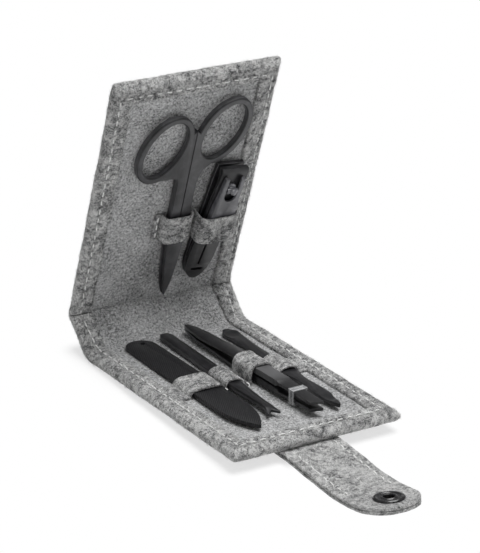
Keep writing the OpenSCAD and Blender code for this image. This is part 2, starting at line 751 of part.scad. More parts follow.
module tweezers_arm(side) {
    steps = 18;
    ts = concat(
        [for (i = [0:steps]) (grip_from - 5) * i / steps],
        [grip_from - 3, grip_from - 1.5, grip_from, grip_to, grip_to + 0.8, grip_to + 1.6, grip_to + 2.5],
        [for (i = [1:4]) grip_to + 2.5 + (tweezers_l - grip_to - 2.5) * i / 4]
    );
    last = len(ts) - 1;
    slip = side < 0 ? 0 : slip_gap / 2;
    middle = tweezers_h / 2;
    intersection() {
        linear_extrude(far) tweezers_outline();
        rotate([90, 0, 90]) linear_extrude(far, center = true) polygon(concat(
            [for (t = ts) [t, middle + side * arm_spread(t)]],
            [for (i = [last:-1:0]) [ts[i], middle + side * (arm_spread(ts[i]) - arm_thick(ts[i]) + slip)]]
        ));
    }
}
module tweezers_lower_arm() {
    color(metal_black) lay_lower(tweezers_place, tweezers_l) tweezers_arm(-1);
}
module tweezers_upper_arm() {
    color(metal_grey) lay_lower(tweezers_place, tweezers_l) tweezers_arm(1);
}
// A flat tube of clear plastic that keeps the arms together
module tweezers_keeper() {
    inner_w = tweezers_tip_w + 2 * seat_gap;
    inner_h = 2 * (arm_spread(keeper_y - keeper_l) + keeper_play);
    color([0.85, 0.88, 0.9, 0.35]) lay_lower(tweezers_place, tweezers_l)
        translate([0, keeper_y, tweezers_h / 2]) rotate([90, 0, 0]) linear_extrude(keeper_l, center = true)
            difference() {
                square([inner_w + 2 * keeper_t, inner_h + 2 * keeper_t], center = true);
                square([inner_w, inner_h], center = true);
            }
}

// Cuticle pusher: a round-cornered bar with a broad spoon and a narrow one
module cuticle_pusher() {
    dish_r = 14;
    color(metal_black) lay_lower(pusher_place, pusher_l) difference() {
        linear_extrude(pusher_t) bar_outline([
            [0, 1.4], [4, spoon_w / 2], [11, 0.8 * spoon_w / 2], [19, 2.2], [34, 2.3],
            [44, 0.98 * spoon_w / 2], [47, 0.98 * spoon_w / 2], [57, 2], [pusher_l - 12, 2.7],
            [pusher_l - 3, 1.5], [pusher_l, 0.4]
        ], 48);
        for (y = [6, pusher_l - 7]) translate([0, y, pusher_t + dish_r - 0.5]) sphere(r = dish_r, $fn = 64);
    }
}

lower_cover();
lower_board();
lower_lining();
lower_loop_band();
spine_cover();
spine_board();
spine_lining();
back_cover();
back_board();
back_lining();
back_loop_band();
strap_root_upper_ply();
strap_root_lower_ply();
strap_neck_upper_ply();
strap_neck_lower_ply();
strap_tip_upper_ply();
strap_tip_lower_ply();
snap_socket();
snap_cap();
snap_stud();
snap_post();
scissors_right_half();
scissors_left_half();
scissors_rivet();
clipper_lower_arm();
clipper_upper_arm();
clipper_lever();
clipper_pin();
nail_file();
cuticle_trimmer();
tweezers_lower_arm();
tweezers_upper_arm();
tweezers_keeper();
cuticle_pusher();
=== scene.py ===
"""A folding felt manicure case, standing open, with its six black tools in their loops."""

import json
import math
import random

import bmesh
import bpy
import numpy as np
from mathutils import Matrix, Vector, noise

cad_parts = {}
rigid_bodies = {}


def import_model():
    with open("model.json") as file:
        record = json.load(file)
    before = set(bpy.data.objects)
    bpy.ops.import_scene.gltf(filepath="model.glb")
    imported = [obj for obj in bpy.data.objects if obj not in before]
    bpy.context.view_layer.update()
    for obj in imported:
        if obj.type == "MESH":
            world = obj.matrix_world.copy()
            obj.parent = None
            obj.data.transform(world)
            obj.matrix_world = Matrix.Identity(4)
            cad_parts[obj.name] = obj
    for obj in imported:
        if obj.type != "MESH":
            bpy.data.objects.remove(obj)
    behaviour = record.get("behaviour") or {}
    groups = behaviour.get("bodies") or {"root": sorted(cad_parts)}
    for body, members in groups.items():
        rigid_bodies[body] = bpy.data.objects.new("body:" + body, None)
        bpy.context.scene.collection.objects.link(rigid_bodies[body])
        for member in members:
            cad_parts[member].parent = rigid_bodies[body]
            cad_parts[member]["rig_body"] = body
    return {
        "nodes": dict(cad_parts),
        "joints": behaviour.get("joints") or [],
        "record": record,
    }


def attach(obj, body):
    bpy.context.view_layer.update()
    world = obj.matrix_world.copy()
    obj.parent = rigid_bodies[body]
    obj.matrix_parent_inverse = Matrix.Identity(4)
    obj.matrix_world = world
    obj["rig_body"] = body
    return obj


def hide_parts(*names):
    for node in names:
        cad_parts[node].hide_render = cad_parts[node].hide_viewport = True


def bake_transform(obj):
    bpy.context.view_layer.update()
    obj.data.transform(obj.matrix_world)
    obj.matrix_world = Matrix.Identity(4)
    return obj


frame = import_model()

bl_info = {
    "name": "Manicure Case",
    "version": (1, 0, 0),
    "blender": (4, 5, 0),
    "location": "View3D > Sidebar > Manicure Case",
    "description": "Builds a felt manicure case with its tools, and the stage it stands on",
    "category": "Add Mesh",
}

MM = 0.001
JOINTS = {joint["name"]: joint for joint in frame["joints"]}


# Sizes and colours


def length(name, about, default):
    return bpy.props.FloatProperty(
        name=name, description=about, default=default, unit="LENGTH", precision=4
    )


def colour(name, about, default):
    return bpy.props.FloatVectorProperty(
        name=name, description=about, default=default, size=3, min=0, max=1, subtype="COLOR"
    )


class CaseSizes(bpy.types.PropertyGroup):
    """Sizes of the felt case."""

    case_w: length("Case Width", "Width of the case along its folds", 0.072)
    panel_t: length("Panel Thickness", "Thickness of felt, board, lining and hem together", 0.0045)
    hem_w: length("Hem Width", "Width of the felt turned over the lining", 0.0085)
    hem_t: length("Hem Thickness", "Height of the hem above the lining", 0.0012)
    seam: length("Seam Distance", "Distance of the hem's stitches from the edge", 0.005)
    stitch: length("Stitch Pitch", "Distance from one stitch to the next", 0.004)
    strap_w: length("Strap Width", "Width of the closing strap", 0.025)
    ply_t: length("Ply Thickness", "Thickness of each of the strap's two plies", 0.0013)
    band_t: length("Band Thickness", "Thickness of the felt of the loops", 0.0011)


class CaseColours(bpy.types.PropertyGroup):
    """Colours of felt, thread and tools."""

    felt_light: colour("Light Fibres", "Colour of the pale wool fibres", (0.80, 0.80, 0.79))
    felt_mid: colour("Felt", "Mean colour of the felt", (0.36, 0.361, 0.362))
    felt_dark: colour("Dark Fibres", "Colour of the dark wool fibres", (0.045, 0.046, 0.048))
    lining: colour("Lining", "Mean colour of the lining", (0.375, 0.377, 0.379))
    thread: colour("Thread", "Colour of the sewing thread", (0.95, 0.95, 0.94))
    steel: colour("Black Steel", "Colour of the blackened tools", (0.011, 0.011, 0.012))
    board: colour("Board", "Colour of the stiffening board", (0.24, 0.19, 0.13))


def mm(name):
    """A size of the case, in millimetres."""
    return 1000 * getattr(bpy.context.scene.case_sizes, name)


def tint(name, gain=1.0):
    """A colour of the case, made that many times lighter."""
    return (*[gain * c for c in getattr(bpy.context.scene.case_colours, name)], 1.0)


# Shapes


def eased(x, keys):
    """Value at x of a curve that eases from key to key; a key is a place and its value."""
    at, value = (np.array(column, float) for column in zip(*keys))
    i = np.clip(np.searchsorted(at, x, side="right") - 1, 0, len(at) - 2)
    t = np.clip((x - at[i]) / (at[i + 1] - at[i]), 0, 1)
    return value[i] + (value[i + 1] - value[i]) * (1 - np.cos(np.pi * t)) / 2


def bell(x, width):
    """A bump of 1 at x = 0 that fades over that width on both sides."""
    return np.exp(-((x / width) ** 2))


def wave(s, seed):
    """An uneven line between about -1 and 1, with waves of 6 to 40 mm."""
    parts = (0.4, 0.16, 1.7, 0), (0.3, 0.37, 2.9, 1), (0.2, 0.71, 4.3, 2), (0.1, 1.13, 5.1, 0)
    return sum(size * np.sin(rate * s + turn * seed + start) for size, rate, turn, start in parts)


def lumps(u, v, h, size, seed):
    """Soft lumps of about that size, from about -1 to 1, at each flat place."""
    return np.array([
        noise.noise((a / size + 17.3 * seed, b / size, c / size)) for a, b, c in zip(u, v, h)
    ])


class Course:
    """The middle of a folded strip, seen from the side: straight runs joined by round bends.

    A flat place is u across, v along and h off the middle, in millimetres.
    """

    def __init__(self, start, folds):
        self.start, self.folds = start, folds

    def at(self, u, v, h):
        """Places in the world, in millimetres, of flat places."""
        u, v, h = (np.asarray(x, float) for x in (u, v, h))
        before = math.radians(self.start)
        v_fold, place = self.folds[0][:2]
        y = place[0] + (v - v_fold) * math.cos(before)
        z = place[1] + (v - v_fold) * math.sin(before)
        angle = np.full_like(v, before)
        for v_fold, place, after, radius in self.folds:
            after = math.radians(after)
            turn = after - before
            r = math.copysign(radius, turn)
            reach = r * math.tan(turn / 2)
            phi = before + turn * np.clip((v - v_fold + reach) / (2 * reach), 0, 1)
            beyond = np.maximum(v - v_fold - reach, 0)
            mid_y = place[0] - reach * math.cos(before) - r * math.sin(before)
            mid_z = place[1] - reach * math.sin(before) + r * math.cos(before)
            bent = v > v_fold - reach
            y = np.where(bent, mid_y + r * np.sin(phi) + beyond * math.cos(after), y)
            z = np.where(bent, mid_z - r * np.cos(phi) + beyond * math.sin(after), z)
            angle = np.where(bent, phi, angle)
            before = after
        return np.stack([u, y - h * np.sin(angle), z + h * np.cos(angle)], axis=-1)

    def point(self, v, h=0.0):
        """A place in the world on the strip's long middle line, in metres."""
        return Vector(self.at(0.0, v, h) * MM)


def side_view(joint):
    """Where a joint's axis stands in the side view, in millimetres."""
    return [1000 * x for x in JOINTS[joint]["pos_m"][1:]]


# Slopes of the lower panel, the spine and the back panel at rest, in degrees
REST_TILT = 2.224
SPINE_SLOPE, BACK_SLOPE = 45 - REST_TILT, 109 - REST_TILT
# Places along the case from its front edge: its two folds, the joint of its two pieces and its top
FRONT_V, FOLD_V, CREASE_V = 0.0, 107.0, 124.8
SEAM_V = (FOLD_V + CREASE_V) / 2
TOP_V = CREASE_V + FOLD_V
FOLD_R, CREASE_R = 7.0, 3.0
CASE = Course(-REST_TILT, [
    (FOLD_V, side_view("spine_fold"), SPINE_SLOPE, FOLD_R),
    (CREASE_V, side_view("back_fold"), BACK_SLOPE, CREASE_R),
])
# Places along the strap from its sewn end: its two folds, its tip and the joint of its two pieces
NECK_V, TIP_V, END_V = 41.6, 74.6, 98.6
STRAP_SEAM_V = 0.45 * NECK_V + 0.55 * TIP_V
STRAP_X = -3.0
NECK_SLOPE, TIP_SLOPE = 182.718, 169.0
NECK_R, TIP_R = 60.0, 95.0
STRAP = Course(180 - REST_TILT, [
    (NECK_V, side_view("strap_fold"), NECK_SLOPE, NECK_R),
    (TIP_V, side_view("strap_tip_fold"), TIP_SLOPE, TIP_R),
])
# Each fold's strip, the bodies before and after it, its place and how far its bend reaches
FOLDS = {
    "spine_fold": (CASE, "root", "spine", FOLD_V, 3.5),
    "back_fold": (CASE, "spine", "back", CREASE_V, 2.5),
    "strap_fold": (STRAP, "root", "strap_neck", NECK_V, 2.0),
    "strap_tip_fold": (STRAP, "strap_neck", "strap_tip", TIP_V, 2.0),
}


def bend(piece, fold):
    """Bakes a piece's place into its mesh; it is neither tied to the bodies on either side of the
    fold nor blended across it.
    """
    course, before, after, v, reach = FOLDS[fold]
    course.point(v - reach)
    course.point(v + reach)
    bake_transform(piece)


def places_of(mesh):
    """Where a mesh's vertices are."""
    places = np.empty(len(mesh.vertices) * 3, np.float32)
    mesh.vertices.foreach_get("co", places)
    return places.reshape(-1, 3).astype(float)


def put(mesh, places):
    """Moves a mesh's vertices to places in millimetres."""
    mesh.vertices.foreach_set("co", (places * MM).astype(np.float32).ravel())
    mesh.update()


def placed(name, data):
    """A new object in the scene."""
    made = bpy.data.objects.new(name, data)
    bpy.context.scene.collection.objects.link(made)
    return made


def object_from(name, mesh, flat=None):
    """A smooth object in the scene.

    flat keeps each vertex's place on the uncut cloth, in millimetres.
    """
    for polygon in mesh.polygons:
        polygon.use_smooth = True
    if flat is not None:
        kept = mesh.attributes.new("flat", "FLOAT_VECTOR", "POINT")
        kept.data.foreach_set("vector", np.asarray(flat, np.float32).ravel())
    return placed(name, mesh)


def lattice(name, us, vs, hs, place, hole=None, sharp=55, unbent=None):
    """A closed block cut by the planes u, v and h, each vertex then put in its place.

    place gives world places in millimetres from the flat ones. unbent, where the shape has relief,
    gives the flat places that its pattern keeps to. hole is u, v and radius, and sharp the angle
    past which an edge looks sharp.
    """
    bm = bmesh.new()
    bmesh.ops.create_cube(bm, size=1.0)
    marks = [np.asarray(x, float) for x in (us, vs, hs)]
    for axis, places in enumerate(marks):
        if len(places) > 2:
            along = [
                e for e in bm.edges if abs(e.verts[0].co[axis] - e.verts[1].co[axis]) > 0.5
            ]
            bmesh.ops.subdivide_edges(bm, edges=along, cuts=len(places) - 2)
    for vertex in bm.verts:
        vertex.co = [
            places[round((x + 0.5) * (len(places) - 1))] for x, places in zip(vertex.co, marks)
        ]
    if hole:
        pierce(bm, *hole)
    mesh = bpy.data.meshes.new(name)
    bm.to_mesh(mesh)
    bm.free()
    flat = places_of(mesh)
    put(mesh, place(*flat.T))
    made = object_from(name, mesh, np.stack(unbent(*flat.T), axis=-1) if unbent else flat)
    mesh.set_sharp_from_angle(angle=math.radians(sharp))
    return made


def pierce(bm, u, v, radius):
    """A round hole through a flat block."""
    middle = Vector((u, v))
    gone = [
        f for f in bm.faces
        if abs(f.normal.z) > 0.9 and (f.calc_center_median().xy - middle).length < radius
    ]
    bmesh.ops.delete(bm, geom=gone, context="FACES")
    rim = [e for e in bm.edges if e.is_boundary]
    for vertex in {vert for e in rim for vert in e.verts}:
        vertex.co.xy = middle + (vertex.co.xy - middle).normalized() * radius
    bmesh.ops.bridge_loops(bm, edges=rim)


def lining_top():
    """Height of the lining's face off the middle of a panel."""
    return mm("panel_t") / 2 - mm("hem_t")


def spread(start, end, step):
    """Evenly spaced places from start to end, about step apart."""
    return np.linspace(start, end, max(2, round(abs(end - start) / step) + 1))


def rounded(a, b, c):
    """A cube's surface place, from -1 to 1, on the round form that fits in the cube."""
    return (
        x * np.sqrt(1 - y * y / 2 - z * z / 2 + y * y * z * z / 3)
        for x, y, z in ((a, b, c), (b, a, c), (c, a, b))
    )


# Outer felt


# Distances of the rows of vertices from the hem's edge, closest where it curves most
HEM_MARKS = (
    0, 0.35, 0.75, 1.2, 1.7, 2.25, 2.8, 3.4, 3.9, 4.3, 4.7, 5.0, 5.3, 5.7, 6.2, 6.8, 7.3, 7.7,
    7.95, 8.15, 8.32, 8.44, 8.5, 8.56, 9.2,
)
FELT_STEP = 0.8
# Inside the hem the felt dives under the lining, over a round shoulder
UNDER_LINING = -2.15
SHOULDER_W, SHOULDER_H = 1.1, 0.9
SEAM_RUN_OUT = 1.7
# How far the felt reaches past the top, and where it starts to stretch for that
TOP_FULLNESS, FULL_FROM, FULL_RUN = 0.9, 190, 30


def hem_relief(d, s, deep, seam):
    """Height of the hem's upper face over a flat hem, at distance d from the edge and s along it.

    The seam is sewn at that distance from the edge.
    """
    hem_w, pitch = mm("hem_w"), mm("stitch")
    pull = 0.75 + 0.45 * np.cos(2 * np.pi * s / pitch)
    puff = deep * eased(d, [(0.6, 0), (2.2, 0.40), (4.5, 0.15), (6.9, 0.45), (hem_w, 0.35)])
    channel = -0.5 * pull * bell(d - seam, 0.8)
    t = np.clip((d - hem_w + SHOULDER_W) / SHOULDER_W, 0, 1)
    shoulder = -SHOULDER_H * (1 - np.sqrt(1 - t * t))
    return np.where(d > hem_w + 0.03, UNDER_LINING, puff + channel + shoulder)


def side_seam(v):
    """Distance of the side seams from the edge; they run out a little towards the back panel."""
    return mm("seam") - SEAM_RUN_OUT * np.clip((v - FOLD_V) / (CREASE_V - FOLD_V), 0, 1)


def felt_skin(u, v, h):
    """Places of the outer felt with its turned hem."""
    return CASE.at(*felt_relief(u, v, h))


def felt_relief(u, v, h):
    """Flat places of the outer felt with its relief, before it is bent."""
    half_w, r = mm("case_w") / 2, mm("panel_t") / 2
    du, dv = half_w - np.abs(u), np.minimum(v, TOP_V - v)
    across, along = np.sign(u), np.where(v < SEAM_V, -1.0, 1.0)
    a, b, c = rounded(np.clip(1 - du / r, 0, 1), np.clip(1 - dv / r, 0, 1), h / r)
    top, under = np.clip(h / r, 0, 1) ** 2, np.clip(-h / r, 0, 1) ** 2
    squareness = (1 - 0.5 * (h / r) ** 2) ** 0.5
    square_a, square_b = (np.clip(1 - x / r, 0, 1) * squareness for x in (du, dv))
    a, b = 0.35 * a + 0.65 * square_a, 0.35 * b + 0.65 * square_b
    new_u = np.where(du < r, across * (half_w - r + r * a), u)
    end_v = np.where(along < 0, r - r * b, TOP_V + TOP_FULLNESS - r + r * b)
    inner_v = v + TOP_FULLNESS * np.clip((v - FULL_FROM) / FULL_RUN, 0, 1)
    new_v = np.where(dv < r, end_v, inner_v)
    new_h = r * c
    # The hem with its seam, and the mitre at its corners
    d, s = np.minimum(du, dv), np.where(du < dv, v, u)
    deep = np.where(du < dv, 1.0, 0.8)
    seam = np.where(du < dv, side_seam(v), mm("seam"))
    new_h += top * hem_relief(d, s, deep, seam)
    pull = 0.25 + 0.15 * np.cos(2 * np.pi * s / mm("stitch"))
    new_h += under * pull * bell(d - seam, 0.9)
    on_hem = np.clip((mm("hem_w") - d) / 0.4, 0, 1)
    mitre = on_hem * bell(du - dv, 0.45) * (np.maximum(du, dv) < mm("hem_w"))
    new_h -= top * 0.14 * mitre
    # The hem pinched at the crease and the fold
    crease, fold = v - CREASE_V, v - FOLD_V
    new_h += top * on_hem * (
        -1.0 * bell(crease, 0.8) + 0.25 * bell(np.abs(crease) - 2.3, 1.1)
        - 0.22 * bell(fold - 1.1, 1.0) - 0.18 * bell(fold + 2.0, 0.9)
    )
    # Uneven faces and wavering edges
    rough = 0.055 * lumps(u, v, h, 2.1, 1) + 0.09 * lumps(u, v, h, 6.5, 2)
    new_h += rough * np.where(top > 0, 0.6, 1.0)
    rim_u, rim_v = bell(du, 5.0), bell(dv, 5.0)
    inner = bell(d - mm("hem_w"), 1.6) * top
    fine = 0.10 * lumps(u, v, h, 1.4, 3)
    new_u += across * rim_u * (0.22 * wave(v, across + 3) + fine + 0.25 * bell(crease, 3))
    new_v += along * rim_v * (0.22 * wave(u, along + 7) + fine)
    new_u += np.where(du < dv, across * inner * 0.18 * wave(1.7 * v, 5), 0)
    new_v += np.where(du < dv, 0, along * inner * 0.14 * wave(1.7 * u, 6))
    return new_u, new_v, new_h


def hem_marks(edge, sign, stop):
    """Planes from an edge across its hem, then evenly on to stop."""
    marks = [edge + sign * x for x in HEM_MARKS]
    return np.concatenate([marks, spread(marks[-1], stop, FELT_STEP)[1:]])


class CASE_OT_felt(bpy.types.Operator):
    """Make the outer felt with its hems, in two pieces that meet in the spine"""

    bl_idname = "case.felt"
    bl_label = "Outer Felt"

    def execute(self, context):
        half_w, r = mm("case_w") / 2, mm("panel_t") / 2
        left = hem_marks(-half_w, 1, 0)
        us = np.concatenate([left, -left[-2::-1]])
        hs = r * np.array([-1, -0.72, -0.42, -0.14, 0.14, 0.42, 0.72, 1])
        lower_vs, back_vs = hem_marks(FRONT_V, 1, SEAM_V), hem_marks(TOP_V, -1, SEAM_V)[::-1]
        lower = lattice("lower_felt", us, lower_vs, hs, felt_skin, unbent=felt_relief)
        back = lattice("back_felt", us, back_vs, hs, felt_skin, unbent=felt_relief)
        bend(lower, "spine_fold")
        bend(back, "back_fold")
        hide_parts("lower_cover", "spine_cover")
        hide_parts("back_cover")
        for piece in (lower, back):
            finish(piece, "outer_felt", outer_felt)
        return {"FINISHED"}


# The hairs' radius, how many stand on a piece's rims and faces, and the share of the latter on hems
HAIR_R = 0.032
RIM_HAIRS, FACE_HAIRS = 1900, 1300
HEM_SHARE = 0.55


def fuzz(name, low, high, seed):
    """Loose hairs of the felt between two places along it, most of them on its rims."""
    chance = np.random.default_rng(seed)
    half_w, r = mm("case_w") / 2, mm("panel_t") / 2
    free_end = FRONT_V if low < SEAM_V else TOP_V
    # Each hair's root and the way it stands out of the felt
    rows = []
    for i in range(RIM_HAIRS + FACE_HAIRS):
        along = chance.uniform(low, high)
        if i < RIM_HAIRS:
            on_end = chance.random() < 2 * half_w / (2 * half_w + 2 * (high - low))
            side, height = chance.choice((-1, 1)), chance.uniform(-r, r)
            if on_end:
                end_side = (along > SEAM_V) * 2 - 1
                rows.append((chance.uniform(-half_w, half_w), free_end, height, 0.0, end_side, 0.0))
            else:
                rows.append((side * half_w, along, height, side, 0.0, 0.0))
        elif chance.random() < HEM_SHARE:
            inset = chance.uniform(0.5, mm("hem_w") - 0.8)
            rows.append((chance.choice((-1, 1)) * (half_w - inset), along, r, 0.0, 0.0, 1.0))
        else:
            rows.append((chance.uniform(-half_w, half_w), along, -r, 0.0, 0.0, -1.0))
    rows = np.array(rows)
    root = np.stack(felt_relief(*rows[:, :3].T), axis=-1)
    out = rows[:, 3:]
    lean = np.cross(out, chance.normal(size=out.shape))
    lean /= np.linalg.norm(lean, axis=1, keepdims=True)
    curl = np.cross(out, lean)
    reach = chance.uniform(0.5, 1.3, (len(rows), 1))
    bow = chance.uniform(-0.5, 0.5, (len(rows), 1))
    mesh, unit = rods(name, len(rows), 3, 2)
    x, y, s = (unit[:, :, i, None] for i in range(3))
    t = (s + 1) / 2
    rise = 0.36 * np.sin(np.pi * t) + 0.08 * t - 0.12
    middle = root[:, None] + lean[:, None] * reach[:, None] * (t - 0.5) * 1.6
    middle = middle + curl[:, None] * bow[:, None] * t**2
    middle = middle + out[:, None] * rise * chance.uniform(0.5, 1.3, (len(rows), 1, 1))
    flat = (middle + HAIR_R * (x * curl[:, None] + y * out[:, None])).reshape(-1, 3)
    put(mesh, CASE.at(*flat.T))
    made = object_from(name, mesh, flat)
    turned_out(mesh)
    finish(made, None, loose_wool)
    return made


class CASE_OT_fuzz(bpy.types.Operator):
    """Raise loose hairs on the rims and faces of the felt"""

    bl_idname = "case.fuzz"
    bl_label = "Felt Fuzz"

    def execute(self, context):
        bend(fuzz("lower_fuzz", FRONT_V, SEAM_V, 3), "spine_fold")
        bend(fuzz("back_fuzz", SEAM_V, TOP_V, 4), "back_fold")
        return {"FINISHED"}


# Lining and boards


# How far the lining runs in under the hem, and its thickness
UNDER_HEM, LINING_T = 0.7, 0.8


def lining_skin(u, v, h):
    """Places of the lining, slightly full between its hems and creased at the fold."""
    inner = mm("case_w") / 2 - mm("hem_w")
    full = np.clip((inner + 0.5 - np.abs(u)) / 4, 0, 1)
    crease = v - CREASE_V
    new_h = h + full * (0.07 * wave(v + 0.6 * u, 8) + 0.05 * lumps(u, v, h, 4, 4))
    new_h += -0.5 * bell(crease, 0.55) + 0.12 * bell(np.abs(crease) - 2.0, 1.2)
    return CASE.at(u, v, new_h)


class CASE_OT_lining(bpy.types.Operator):
    """Make the lining inside the hems, in two pieces that meet in the spine"""

    bl_idname = "case.lining"
    bl_label = "Lining"

    def execute(self, context):
        reach = mm("hem_w") - UNDER_HEM
        us = spread(-mm("case_w") / 2 + reach, mm("case_w") / 2 - reach, 1.2)
        hs = [lining_top() - LINING_T, lining_top()]
        before, after = CREASE_V - CREASE_R, CREASE_V + CREASE_R
        back_vs = np.concatenate([
            spread(SEAM_V, before, 1), spread(before, after, 0.35)[1:],
            spread(after, TOP_V - reach, 1)[1:],
        ])
        lower = lattice("lower_lining_cloth", us, spread(reach, SEAM_V, 1), hs, lining_skin)
        back = lattice("back_lining_cloth", us, back_vs, hs, lining_skin)
        bend(lower, "spine_fold")
        bend(back, "back_fold")
        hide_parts("lower_lining", "spine_lining")
        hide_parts("back_lining")
        half_runs = (lower, "lower_board", SEAM_V), (back, "back_board", TOP_V - SEAM_V)
        for piece, board, run in half_runs:
            finish(piece, "lining", lining_cloth)
        return {"FINISHED"}


class CASE_OT_boards(bpy.types.Operator):
    """Finish the stiffening boards inside the panels"""

    bl_idname = "case.boards"
    bl_label = "Boards"

    def execute(self, context):
        for node in ("lower_board", "spine_board", "back_board"):
            refinish(frame["nodes"][node], grey_board)
        return {"FINISHED"}


# Stitches


# The thread's radius, how high it lies on the felt, and the gap from stitch to stitch
THREAD_R, THREAD_RISE = 0.28, 0.08
STITCH_GAP = 0.9


def rods(name, count, segments, cuts):
    """A mesh of that many closed rods, and the places of each one's vertices, from -1 to 1."""
    bm = bmesh.new()
    bmesh.ops.create_cone(bm, cap_ends=True, segments=segments, radius1=1, radius2=1, depth=2)
    along = [e for e in bm.edges if abs(e.verts[0].co.z - e.verts[1].co.z) > 1]
    bmesh.ops.subdivide_edges(bm, edges=along, cuts=cuts)
    template = bpy.data.meshes.new(name)
    bm.to_mesh(template)
    for _ in range(count - 1):
        bm.from_mesh(template)
    mesh = bpy.data.meshes.new(name)
    bm.to_mesh(mesh)
    bm.free()
    bpy.data.meshes.remove(template)
    return mesh, places_of(mesh).reshape(count, -1, 3)


def turned_out(mesh):
    """Turns the mesh's faces outwards."""
    bm = bmesh.new()
    bm.from_mesh(mesh)
    bmesh.ops.recalc_face_normals(bm, faces=bm.faces)
    bm.to_mesh(mesh)
    bm.free()


def stitches(name, course, runs, sides, bite=0.5):
    """Thread stitches on a strip, on each side of it.

    A run is a stitch's middle, its direction and its height. bite is how far its ends sink.
    """
    places = [(*run, side) for run in runs for side in sides]
    mesh, unit = rods(name, len(places), 6, 5)
    chance = random.Random(5)
    co, flat = np.empty_like(unit), np.empty_like(unit)
    for i, (u, v, du, dv, height, side) in enumerate(places):
        half = 0.5 * (mm("stitch") - STITCH_GAP) + chance.uniform(-0.3, 0.15)
        lean = chance.uniform(-0.16, 0.16)
        sunk = chance.uniform(-0.05, 0.12)
        x, y, s = unit[i].T
        thin = THREAD_R * np.sqrt(np.clip(1.12 - s**4, 0.12, 1))
        off = x * thin + lean * s
        lift = height - sunk - bite * s**4 + y * thin
        co[i] = course.at(u + du * half * s - dv * off, v + dv * half * s + du * off, side * lift)
        flat[i] = np.stack([half * s, x * thin, y * thin], axis=-1)
    put(mesh, co)
    made = object_from(name, mesh, flat.reshape(-1, 3))
    turned_out(mesh)
    finish(made, None, sewing_thread)
    return made


def seam_run(start, end, height):
    """Stitches from start to end, each (u, v, du, dv, height)."""
    start, end = np.array(start, float), np.array(end, float)
    reach = np.linalg.norm(end - start)
    step = (end - start) / reach
    count = max(1, round(reach / mm("stitch")))
    return [(*(start + step * reach * (i + 0.5) / count), *step, height) for i in range(count)]


class CASE_OT_stitches(bpy.types.Operator):
    """Sew the hems with light thread"""

    bl_idname = "case.stitches"
    bl_label = "Hem Stitches"

    def execute(self, context):
        seam_u, height = mm("case_w") / 2 - mm("seam"), mm("panel_t") / 2 + THREAD_RISE
        front, top = mm("seam"), TOP_V - mm("seam")
        pitch = mm("stitch")
        middle = front + pitch * round((SEAM_V - front) / pitch)
        lower = seam_run((-seam_u, front), (seam_u, front), height)
        back = seam_run((-seam_u, top), (seam_u, top), height)
        crease = front + pitch * round((CREASE_V + CREASE_R - front) / pitch)
        for side in (-1, 1):
            foot, fold, seam, end = (
                (side * (mm("case_w") / 2 - side_seam(v)), v)
                for v in (front, FOLD_V, middle, crease)
            )
            lower += seam_run(foot, fold, height) + seam_run(fold, seam, height)
            back += seam_run(seam, end, height) + seam_run(end, (end[0], top), height)
        bend(stitches("lower_hem_stitches", CASE, lower, (1, -1)), "spine_fold")
        bend(stitches("back_hem_stitches", CASE, back, (1, -1)), "back_fold")
        return {"FINISHED"}


# Loops


# Each loop is its middle, its half width, the height inside it at both ends of the band, and how
# square its round is
LOWER_LOOPS = (
    (-16.2, 7.0, 2.6, 2.6, 5.0), (-4.64, 3.5, 3.4, 3.4, 4.0), (7.37, 4.3, 6.9, 6.9, 5.0),
    (19.39, 3.7, 3.1, 3.1, 3.5),
)
BACK_LOOPS = ((2.24, 5.8, 4.4, 4.4, 5.0), (18.16, 7.8, 8.6, 9.1, 6.0))
# Where each band starts and ends along its panel, where the back one starts across it, and where
# both are sewn down between their loops
LOWER_BAND, BACK_BAND = (49.6, 62.7), (31.5, 43.5)
BACK_BAND_U = -6.9
LOWER_SEAMS_U, BACK_SEAMS_U = (-8.7, 1.0, 13.7), (-5.6, 9.2)
LOOP_STEPS, BAND_STEPS = 60, 190
LOOP_PATTERN_U = 300


def band_line(start, end, loops, at_end):
    """Inner and outer line of a band across its loops, as x and height, evenly spaced."""
    points = [(start, 0.0)]
    for middle, half, low, high, square in loops:
        height = high if at_end else low
        for a in np.linspace(np.pi, 0, LOOP_STEPS):
            c, s = math.cos(a), max(math.sin(a), 0.0)
            points.append((
                middle + half * math.copysign(abs(c) ** (2 / square), c), height * s ** (2 / square)
            ))
    points.append((end, 0.0))
    points = np.array(points)
    run = np.concatenate([[0], np.cumsum(np.linalg.norm(np.diff(points, axis=0), axis=1))])
    keep = np.concatenate([[True], np.diff(run) > 1e-6])
    even = np.linspace(0, run[-1], BAND_STEPS)
    inner = np.stack([np.interp(even, run[keep], points[keep, i]) for i in (0, 1)], axis=-1)
    inner = relaxed(inner, 3)
    step = np.gradient(inner, axis=0)
    step /= np.linalg.norm(step, axis=1, keepdims=True)
    outer = relaxed(inner + mm("band_t") * np.stack([-step[:, 1], step[:, 0]], axis=-1), 9)
    outer[:, 0] = np.maximum.accumulate(outer[:, 0])
    outer[:, 1] = np.maximum(outer[:, 1], 0.55 * mm("band_t"))
    return inner, relaxed(outer, 3), even


def relaxed(line, times):
    """A line smoothed that many times, its ends kept."""
    line = line.copy()
    for _ in range(times):
        line[1:-1] = 0.25 * line[:-2] + 0.5 * line[1:-1] + 0.25 * line[2:]
    return line


